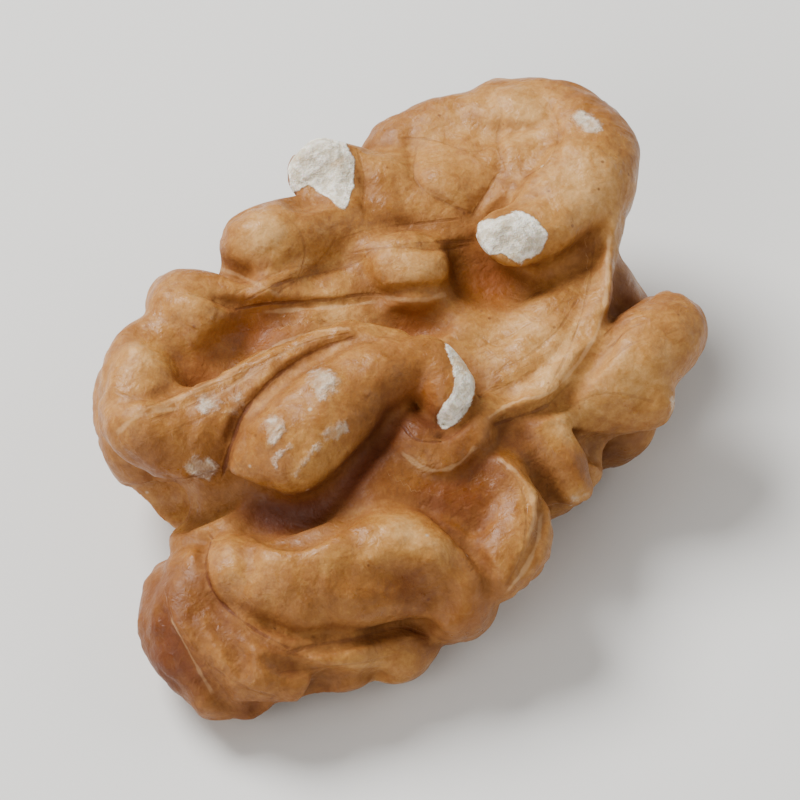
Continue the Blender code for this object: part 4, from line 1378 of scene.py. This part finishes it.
@dataclass(frozen=True)
class SkinFinish:
    """Colours, patterns and surface of the kernel's papery skin and its pale flesh.

    The patterns' sizes are spots in a metre, the bump's height and the light's depth are in metres.
    """

    # pale to hollow are the steps of the tone ramp: the skin's own tones, with painted highlight towards pale
    # and painted shade towards hollow
    pale: Paint = colour(201, 156, 98)
    light: Paint = colour(173, 123, 62)
    middle: Paint = colour(147, 96, 43)
    deep: Paint = colour(124, 75, 29)
    hollow: Paint = colour(104, 54, 16)
    # glow is a painted warm light in the hollows, shadow a painted shade in hollows and under folds
    glow: Paint = colour(134, 68, 8)
    shadow: Paint = colour(78, 28, 2)
    line: Paint = colour(88, 40, 14)
    # edge colours the pale lines: partly the skin's paler edges, partly painted highlight
    edge: Paint = colour(222, 184, 136)
    flesh: Paint = colour(255, 250, 238)
    flesh_shade: Paint = colour(203, 192, 170)
    flesh_stain: Paint = colour(196, 162, 112)
    dark_lines: float = 0.9
    faint_lines: float = 0.5
    pale_lines: float = 0.55
    glow_share: float = 0.85
    shadow_share: float = 0.9
    clouds: float = 260.0
    patches: float = 700.0
    dimples: float = 900.0
    waver: float = 1100.0
    mottles: float = 1500.0
    grain: float = 2600.0
    specks: float = 4200.0
    vein_patches: float = 170.0
    vein_sway: float = 330.0
    vein_shift: float = 0.0045
    trunks: float = 150.0
    twigs: float = 380.0
    roughness: float = 0.44
    bump: float = 0.5
    bump_height: float = 0.00027
    light_under_skin: float = 0.16
    light_spread: Place = (1.0, 0.48, 0.2)
    light_depth: float = 0.0011
    shine: float = 0.3
    light_bending: float = 1.47


def line_group() -> bpy.types.NodeTree:
    """A thin line with soft, slightly wavering sides, shared by every kind of line.

    Returns:
        The shader group.
    """
    nodes = Nodes(bpy.data.node_groups.new("Line in the skin", "ShaderNodeTree"))
    face = nodes.tree.interface
    for name, value in (("Distance", 1.0), ("Strength", 1.0), ("Waver", 0.5), ("Half width", 0.1)):
        socket = face.new_socket(name, in_out="INPUT", socket_type="NodeSocketFloat")
        socket.default_value = value
    face.new_socket("Mask", in_out="OUTPUT", socket_type="NodeSocketFloat")
    given = nodes.add("NodeGroupInput").outputs
    width = nodes.math("MULTIPLY", given["Half width"], nodes.ramp(given["Waver"], 0.25, 0.75, 0.45, 1.5))
    ratio = nodes.math("DIVIDE", nodes.math("ABSOLUTE", given["Distance"]), width)
    clear = nodes.ramp(given["Waver"], 0.3, 0.6, 0.45, 1.0)
    mask = nodes.math("MULTIPLY", nodes.ramp(ratio, 0.3, 1.0, 1.0, 0.0), clear)
    mask = nodes.math("MULTIPLY", mask, given["Strength"], clamp=True)
    nodes.join(mask, nodes.add("NodeGroupOutput").inputs["Mask"])
    return nodes.tree


class SkinMaterial(Surface):
    """The kernel's skin, its lines and hollows, and the pale flesh of the broken places."""

    def __init__(self, finish: SkinFinish) -> None:
        """Make the material.

        Args:
            finish: Its colours, patterns and surface.
        """
        super().__init__("kernel skin")
        self.finish = finish
        self.grain = self.noise(finish.grain, 4.0, 0.65)
        self.patches = self.noise(finish.patches, 3.0, 0.6)
        self.chip = self.chip_mask()
        skin, dents = self.skin_colour()
        self.join(self.mix(self.chip, skin, self.flesh_colour()), self.shader.inputs["Base Color"])
        self.join(self.roughness(), self.shader.inputs["Roughness"])
        self.bump(self.height(dents), finish.bump, finish.bump_height)
        for name, value in (
            ("Subsurface Weight", finish.light_under_skin), ("Subsurface Radius", finish.light_spread),
            ("Subsurface Scale", finish.light_depth), ("Specular IOR Level", finish.shine),
            ("IOR", finish.light_bending),
        ):
            self.shader.inputs[name].default_value = value

    def flesh_colour(self) -> Socket:
        """The pale flesh, whiter at its grains and stained in patches.

        Returns:
            The colour.
        """
        finish = self.finish
        rim = self.ramp(self.attribute("chip"), 0.05, 0.45, 0.25, -0.1)
        tone = self.math("ADD", self.ramp(self.grain, 0.38, 0.60, 0.0, 0.85), rim, clamp=True)
        flesh = self.mix(tone, finish.flesh_shade, finish.flesh)
        flesh = self.mix(self.ramp(self.patches, 0.44, 0.54, 0.6, 0.0), flesh, finish.flesh_shade)
        return self.mix(self.ramp(self.patches, 0.34, 0.44, 0.6, 0.0), flesh, finish.flesh_stain)

    def roughness(self) -> Socket:
        """A soft gloss on the open skin, duller in hollows and on flesh.

        Returns:
            The roughness.
        """
        base = self.finish.roughness
        gloss = self.ramp(self.patches, 0.3, 0.7, base - 0.1, base + 0.12)
        gloss = self.math("ADD", gloss, self.ramp(self.grain, 0.56, 0.66, 0.0, -0.16))
        gloss = self.math("ADD", gloss, self.ramp(self.attribute("open"), 0.3, 0.95, 0.36, 0.0))
        return self.math("ADD", gloss, self.math("MULTIPLY", self.chip, 0.35), clamp=True)

    def skin_colour(self) -> tuple[Socket, Socket]:
        """The skin's colour without the broken places.

        Returns:
            The colour, and how deep the lines are.
        """
        finish = self.finish
        group = line_group()
        waver = self.noise(finish.waver, 2.0)
        lines = {mark: self.line(group, waver, mark) for mark in Mark}
        creases = self.math("MAXIMUM", lines[Mark.DARK], lines[Mark.BRANCH])
        faint = self.math("MAXIMUM", lines[Mark.FAINT], lines[Mark.FAINT_BRANCH])
        dark = self.math("MAXIMUM", creases, self.math("MULTIPLY", self.veins(), 0.75))
        shade = self.base_colour(self.tone())
        shade = self.mix(self.math("MULTIPLY", lines[Mark.PALE], finish.pale_lines), shade, finish.edge)
        shade = self.mix(self.math("MULTIPLY", dark, finish.dark_lines), shade, finish.line)
        shade = self.mix(self.math("MULTIPLY", faint, finish.faint_lines), shade, finish.line)
        dots, pale_dots_and_glints = self.freckles()
        # pale dots, partly painted glints, in the flesh's greyer colour
        shade = self.mix(pale_dots_and_glints, self.mix(dots, shade, finish.line), finish.flesh_shade)
        return shade, self.math("MAXIMUM", creases, self.math("MULTIPLY", faint, 0.6))

    def tone(self) -> Socket:
        """How light the skin is: painted highlight on crests, painted shade in folds, and spotted in three
        sizes.

        Returns:
            The tone, from about -1.2 to 1.
        """
        finish = self.finish
        spots = (
            (self.noise(finish.clouds, 3.0, 0.55), 0.25, 0.35),
            (self.noise(finish.mottles, 4.0, 0.6, 0.6), 0.3, 0.26),
            (self.noise(finish.specks, 3.0, 0.7), 0.3, 0.16),
        )
        tone = self.attribute(Wash.TONE.value)
        for pattern, low, reach in spots:
            tone = self.math("ADD", tone, self.ramp(pattern, low, 1.0 - low, -reach, reach, False))
        # painted highlight on the crests, and painted shade where the skin is less open
        tone = self.math("ADD", tone, self.ramp(self.attribute("crest"), 0.0, 0.6, -0.05, 0.35))
        return self.math("SUBTRACT", tone, self.ramp(self.attribute("open"), 0.2, 0.9, 0.7, 0.0, False))

    def base_colour(self, tone: Socket) -> Socket:
        """The skin's colour for its tone, with the warm light and the deep shade of the hollows.

        Args:
            tone: How light the skin is.

        Returns:
            The colour.
        """
        finish = self.finish
        steps = self.add("ShaderNodeValToRGB")
        ends = steps.color_ramp.elements
        ends[0].color = finish.hollow
        ends[1].color = finish.pale
        for position, shade in ((0.28, finish.deep), (0.52, finish.middle), (0.74, finish.light)):
            ends.new(position).color = shade
        self.join(self.ramp(tone, -1.2, 1.0, smooth=False), steps.inputs["Fac"])
        shade = steps.outputs["Color"]
        for wash, share, over in (
            (Wash.GLOW, finish.glow_share, finish.glow), (Wash.SHADE, finish.shadow_share, finish.shadow),
        ):
            shade = self.mix(self.ramp(self.attribute(wash.value), 0.0, 1.0, 0.0, share, False), shade, over)
        return shade

    def veins(self) -> Socket:
        """Thin meandering veins of the rounded side.

        Returns:
            The veins' mask.
        """
        finish = self.finish
        sway = self.add("ShaderNodeTexNoise")
        self.join(self.place, sway.inputs["Vector"])
        sway.inputs["Scale"].default_value = finish.vein_sway
        sway.inputs["Detail"].default_value = 3.0
        shift = self.add("ShaderNodeVectorMath", operation="MULTIPLY_ADD")
        self.join(sway.outputs["Color"], shift.inputs[0])
        shift.inputs[1].default_value = (finish.vein_shift,) * 3
        self.join(self.place, shift.inputs[2])
        patches = self.ramp(self.noise(finish.vein_patches, 2.0), 0.44, 0.56)
        trunks = self.cell_edges(shift.outputs[0], finish.trunks, 0.013)
        twigs = self.math("MULTIPLY", self.cell_edges(shift.outputs[0], finish.twigs, 0.020), 0.5)
        lines = self.math("MAXIMUM", trunks, self.math("MULTIPLY", twigs, patches))
        lines = self.math("MULTIPLY", lines, self.ramp(patches, 0.0, 1.0, 0.35, 1.0))
        return self.math("MULTIPLY", lines, self.ramp(self.attribute("outer"), 0.25, 0.7))

    def cell_edges(self, place: Socket, scale: float, width: float) -> Socket:
        """Thin lines where cells meet; width is half a line's width, as a share of a cell."""
        apart = self.cells(place, scale, "DISTANCE_TO_EDGE").outputs["Distance"]
        return self.ramp(apart, width * 0.3, width, 1.0, 0.0)

    def line(self, group: bpy.types.NodeTree, waver: Socket, mark: Mark) -> Socket:
        """One kind of line.

        Args:
            group: The shared line.
            waver: Noise that makes its width waver.
            mark: Which kind.

        Returns:
            The line's mask.
        """
        node = self.add("ShaderNodeGroup", node_tree=group)
        self.join(self.attribute(mark.value), node.inputs["Distance"])
        self.join(self.attribute(mark.value + "_strength"), node.inputs["Strength"])
        self.join(waver, node.inputs["Waver"])
        node.inputs["Half width"].default_value = HALF_WIDTHS[mark]
        return node.outputs["Mask"]

    def freckles(self) -> tuple[Socket, Socket]:
        """A few tiny dots: dark ones, and pale ones that are partly flecks of flesh and partly painted
        glints.

        Returns:
            The masks of the dark dots and of the pale dots with their painted glints.
        """
        cells = self.cells(self.place, self.finish.dimples, "F1")
        pick = self.add("ShaderNodeSeparateColor")
        self.join(cells.outputs["Color"], pick.inputs["Color"])
        dots = self.ramp(cells.outputs["Distance"], 0.05, 0.11, 0.55, 0.0)
        dots = self.math("MULTIPLY", dots, self.math("GREATER_THAN", pick.outputs["Red"], 0.72))
        pale_dots_and_glints = self.ramp(cells.outputs["Distance"], 0.03, 0.14, 0.6, 0.0)
        pale_dots_and_glints = self.math("MULTIPLY", pale_dots_and_glints, self.math("GREATER_THAN", pick.outputs["Green"], 0.94))
        return dots, pale_dots_and_glints

    def chip_mask(self) -> Socket:
        """Where the skin is broken away, with a grainy border.

        Returns:
            The broken places' mask.
        """
        bare = self.attribute("bare")
        reach = self.ramp(bare, 0.5, 1.0, 0.42, 0.13, False)
        grit = self.ramp(self.noise(self.finish.mottles, 4.0, 0.7), 0.2, 0.8, -1.0, 1.0, False)
        inward = self.math("ADD", self.attribute("chip"), self.math("MULTIPLY", grit, reach))
        edge = self.ramp(inward, -0.04, self.ramp(bare, 0.5, 1.0, 0.50, 0.05, False))
        worn = self.ramp(bare, 0.5, 1.0, 0.2, 1.0, False)
        thin = self.ramp(self.noise(self.finish.waver, 3.0, 0.6), 0.38, 0.6, worn)
        return self.math("MULTIPLY", self.math("MULTIPLY", edge, bare), thin)

    def height(self, dents: Socket) -> Socket:
        """Fine unevenness of the skin, the lines and the grainy flesh.

        Args:
            dents: How deep the lines are.

        Returns:
            The height.
        """
        wide = self.math("MULTIPLY", self.noise(self.finish.dimples, 2.0, 0.5, 0.8), 0.9)
        fine = self.math("MULTIPLY", self.noise(self.finish.grain, 4.0, 0.6, 0.4), 0.55)
        height = self.math("SUBTRACT", self.math("ADD", wide, fine), self.math("MULTIPLY", dents, 0.5))
        grit = self.math("MULTIPLY", self.math("MULTIPLY", self.chip, self.grain), 2.4)
        return self.math("ADD", height, grit)


@dataclass(frozen=True)
class FloorFinish:
    """A matt pale floor: two near colours in soft clouds, and a faint tooth."""

    dark: Paint = colour(222, 223, 222)
    light: Paint = colour(228, 228, 227)
    clouds: float = 14.0
    roughness: Spot = (0.66, 0.74)
    tooth: float = 900.0
    bump: float = 0.05
    bump_height: float = 0.0002

    def build(self) -> bpy.types.Material:
        """Make the material.

        Returns:
            The finished material.
        """
        surface = Surface("pale floor")
        cloud = surface.noise(self.clouds, 2.0)
        surface.join(surface.mix(cloud, self.dark, self.light), surface.shader.inputs["Base Color"])
        surface.join(surface.ramp(cloud, 0.3, 0.7, *self.roughness), surface.shader.inputs["Roughness"])
        surface.bump(surface.noise(self.tooth, 2.0), self.bump, self.bump_height)
        return surface.material


# ---------------------------------------------------------------- the kernel
@dataclass(frozen=True)
class Relief:
    """Low bumps and creases of the skin: how high, and how wide each kind is, in millimetres.

    A kind's share is its part of the height, its bend says how far the pattern is bent, and a higher
    sharpness makes it narrower.
    """

    height: float = 0.075
    bend: float = 2.6
    wave: float = 1.9
    wave_share: float = 1.6
    wave_bend: float = 0.7
    crease: float = 1.35
    crease_share: float = 0.8
    crease_bend: float = 0.9
    crease_sharpness: float = 2.2
    grain: float = 0.75
    grain_share: float = 0.6
    lobe: float = 2.7
    lobe_share: float = 2.6
    lobe_bend: float = 0.8
    furrow: Place = (3.4, 3.4, 2.2)
    furrow_share: float = 3.2
    furrow_bend: float = 1.3
    furrow_sharpness: float = 4.0

    def at(self, places: np.ndarray, outer: np.ndarray) -> np.ndarray:
        """How far the skin stands out.

        Args:
            places: Rows of x, y, z.
            outer: From 0 on the seen face to 1 on the rounded side.

        Returns:
            One height in millimetres for each row.
        """
        bend = np.stack([lattice_noise(places / self.bend, seed) for seed in (1, 2, 3)], 1)
        waves = lattice_noise(places / self.wave + bend * self.wave_bend, 4)
        creases = self.grooves(places / self.crease + bend * self.crease_bend, 5, self.crease_sharpness)
        fine = lattice_noise(places / self.grain + bend, 6)
        skin = waves * self.wave_share - creases * self.crease_share + fine * self.grain_share
        lobes = lattice_noise(places / self.lobe + bend * self.lobe_bend, 7)
        furrows = self.grooves(
            places / np.array(self.furrow) + bend * self.furrow_bend, 8, self.furrow_sharpness)
        rough = lobes * self.lobe_share - furrows * self.furrow_share
        return self.height * (skin + rough * outer)

    @staticmethod
    def grooves(places: np.ndarray, seed: int, sharpness: float) -> np.ndarray:
        """Narrow grooves where soft random hills cross nought.

        Args:
            places: Rows of x, y, z.
            seed: Chooses the pattern.
            sharpness: How narrow they are.

        Returns:
            How deep each row lies in one, from 0 to 1.
        """
        return np.clip(1.0 - np.abs(lattice_noise(places, seed)) * sharpness, 0.0, 1.0)


@dataclass
class Kernel:
    """The whole kernel: one skin over all its folds. Sizes are in millimetres."""

    low: Place = (-20.0, -15.6, -1.4)
    high: Place = (20.2, 15.6, 15.4)
    step: float = 0.2
    evening: int = 2
    foot_cut: float = 0.22
    lump_blend: float = 0.5
    open_reaches: Place = (0.5, 1.0, 1.8)
    crest_reaches: Spot = (0.6, 1.2)
    outer_middle: float = 0.55
    outer_slope: float = 1.1
    calmest: float = 0.45
    relief: Relief = Relief()
    finish: SkinFinish = SkinFinish()
    view: PhotoView = PhotoView()

    def field(self) -> SolidField:
        """All folds joined and all hollows carved.

        Returns:
            The distances to the kernel's surface.
        """
        solid = SolidField(self.low, self.high, self.step)
        for ball in (*MIDDLE, *FEET):
            solid.ball(ball)
        for fold in (*SIDE_FOLDS, *INNER_FOLDS, *FRONT_FOLDS):
            solid.fold(fold)
        for hollow in HOLLOWS:
            solid.fold(hollow, carve=True)
        self.touch(solid)
        for ball in BREAKS:
            solid.ball(ball, carve=True)
        return solid

    def touch(self, solid: SolidField) -> None:
        """Lay the finer forms on the seen face.

        Args:
            solid: The distances to the surface so far.
        """
        fit = Fit.of(solid.surface()[0], self.foot_cut)
        raised = (*(Touch((row,), self.lump_blend) for row in LUMPS), *LIPS)
        for touches in (raised, CREASES):
            layer = TouchLayer(solid, fit, self.view)
            folds = [(fold, touch.carve) for touch in touches for fold in layer.lay(touch)]
            for fold, carve in folds:
                solid.fold(fold, carve)

    def exposure(self, solid: SolidField, skin: Skin, normals: np.ndarray) -> dict[str, np.ndarray]:
        """How open, how raised and how far round to the outer side each point lies.

        Args:
            solid: The distances to the surface.
            skin: The skin before its relief.
            normals: Its outward directions.

        Returns:
            The three values, from 0 to 1, under their names.
        """
        above = [solid.sample(skin.points + normals * reach) / reach for reach in self.open_reaches]
        below = [solid.sample(skin.points - normals * reach) / reach for reach in self.crest_reaches]
        outer = self.outer_middle - self.outer_slope * normals @ self.view.directions()[2]
        values = {
            "open": (sum(above) / len(above), 2),
            "crest": (1.0 + sum(below) / len(below), 2),
            "outer": (outer, 4),
        }
        return {
            name: skin.average(np.clip(value, 0.0, 1.0), rounds)[:, 0]
            for name, (value, rounds) in values.items()
        }

    def shape(self) -> tuple[Skin, dict[str, np.ndarray]]:
        """The finished skin and what the material reads from it.

        Returns:
            The skin, and a value for each of its points under each name.
        """
        solid = self.field()
        skin = Skin(*solid.surface())
        skin.points = skin.average(skin.points, self.evening)
        normals = skin.normals()
        values = self.exposure(solid, skin, normals)
        relief = self.relief.at(skin.points, values["outer"]) * np.clip(values["open"], self.calmest, 1.0)
        skin.points = skin.points + normals * relief[:, None]
        skin.points = Fit.of(skin.points, self.foot_cut).apply(skin.points)
        marks = SkinMarks(skin, self.view)
        for mark in Mark:
            values[mark.value], values[mark.value + "_strength"] = marks.lines(mark)
        values["chip"], values["bare"] = marks.chips()
        for wash in Wash:
            values[wash.value] = marks.wash(wash)
        return skin, values

    def build(self) -> bpy.types.Object:
        """Make the kernel and dress it.

        Returns:
            The finished object.
        """
        skin, values = self.shape()
        mesh = bpy.data.meshes.new("walnut kernel")
        mesh.from_pydata((skin.points * MM).tolist(), [], skin.faces.tolist())
        mesh.update()
        mesh.polygons.foreach_set("use_smooth", [True] * len(mesh.polygons))
        for name, numbers in values.items():
            layer = mesh.attributes.new(name, "FLOAT", "POINT")
            layer.data.foreach_set("value", numbers.astype(np.float32))
        mesh.materials.append(SkinMaterial(self.finish).material)
        thing = bpy.data.objects.new("walnut_kernel", mesh)
        bpy.context.scene.collection.objects.link(thing)
        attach(thing, BODY)
        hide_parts(NODE)
        log.info("kernel: %d points, %d faces", len(skin.points), len(skin.faces))
        return thing


# ---------------------------------------------------------------- the studio
@dataclass(frozen=True)
class SoftLight:
    """A large soft lamp: its name, place and size in metres, power in watts, and colour."""

    name: str
    place: Place
    size: float
    power: float
    tint: Place


LIGHTS = (
    SoftLight("window light", (-0.12, 0.34, 0.42), 0.30, 5.6, (1.0, 0.985, 0.96)),
    SoftLight("side fill", (-0.42, -0.16, 0.26), 0.40, 1.6, (1.0, 0.97, 0.93)),
    SoftLight("right fill", (0.40, -0.20, 0.30), 0.45, 0.9, (1.0, 0.98, 0.95)),
)


@dataclass
class Studio:
    """Pale floor, soft light and camera. Sizes are in metres, the sensor's in millimetres."""

    view: PhotoView = PhotoView()
    floor_finish: FloorFinish = FloorFinish()
    floor_size: float = 3.0
    distance: float = 0.30
    frame_width: float = 0.0405
    sensor_width: float = 36.0
    nearest: float = 0.01
    farthest: float = 10.0
    aim: Place = (0.0006, 0.0004, 0.0050)
    surround: Paint = colour(236, 233, 228)
    surround_strength: float = 0.34

    def floor(self) -> None:
        """A wide plain floor just under the kernel."""
        half = self.floor_size / 2
        mesh = bpy.data.meshes.new("floor")
        corners = [(-half, -half, 0.0), (half, -half, 0.0), (half, half, 0.0), (-half, half, 0.0)]
        mesh.from_pydata(corners, [], [(0, 1, 2, 3)])
        mesh.materials.append(self.floor_finish.build())
        thing = bpy.data.objects.new("floor", mesh)
        bpy.context.scene.collection.objects.link(thing)

    def lights(self) -> None:
        """Soft lamps and an even pale surround."""
        for lamp in LIGHTS:
            data = bpy.data.lights.new(lamp.name, "AREA")
            data.shape = "DISK"
            data.size = lamp.size
            data.energy = lamp.power
            data.color = lamp.tint
            thing = bpy.data.objects.new(lamp.name, data)
            thing.location = lamp.place
            aim = Vector(self.aim) - Vector(lamp.place)
            thing.rotation_euler = aim.to_track_quat("-Z", "Y").to_euler()
            bpy.context.scene.collection.objects.link(thing)
        world = bpy.data.worlds.new("surround")
        world.use_nodes = True
        background = world.node_tree.nodes["Background"]
        background.inputs["Color"].default_value = self.surround
        background.inputs["Strength"].default_value = self.surround_strength
        bpy.context.scene.world = world

    def camera(self) -> None:
        """The camera, at the slant the kernel is seen from."""
        data = bpy.data.cameras.new("camera")
        data.sensor_width = self.sensor_width
        data.lens = self.sensor_width * self.distance / self.frame_width
        data.clip_start = self.nearest
        data.clip_end = self.farthest
        thing = bpy.data.objects.new("camera", data)
        back = Vector(self.view.directions()[2])
        thing.location = Vector(self.aim) + back * self.distance
        thing.rotation_euler = (-back).to_track_quat("-Z", "Y").to_euler()
        bpy.context.scene.collection.objects.link(thing)
        bpy.context.scene.camera = thing

    def build(self) -> None:
        """Set everything up."""
        self.camera()
        self.floor()
        self.lights()
        log.info("studio: floor, %d lights, camera", len(LIGHTS))


def main() -> None:
    """Build the studio and the kernel."""
    logging.basicConfig(level=logging.INFO, format="%(name)s: %(message)s")
    Studio().build()
    Kernel().build()


if __name__ == "__main__":
    main()
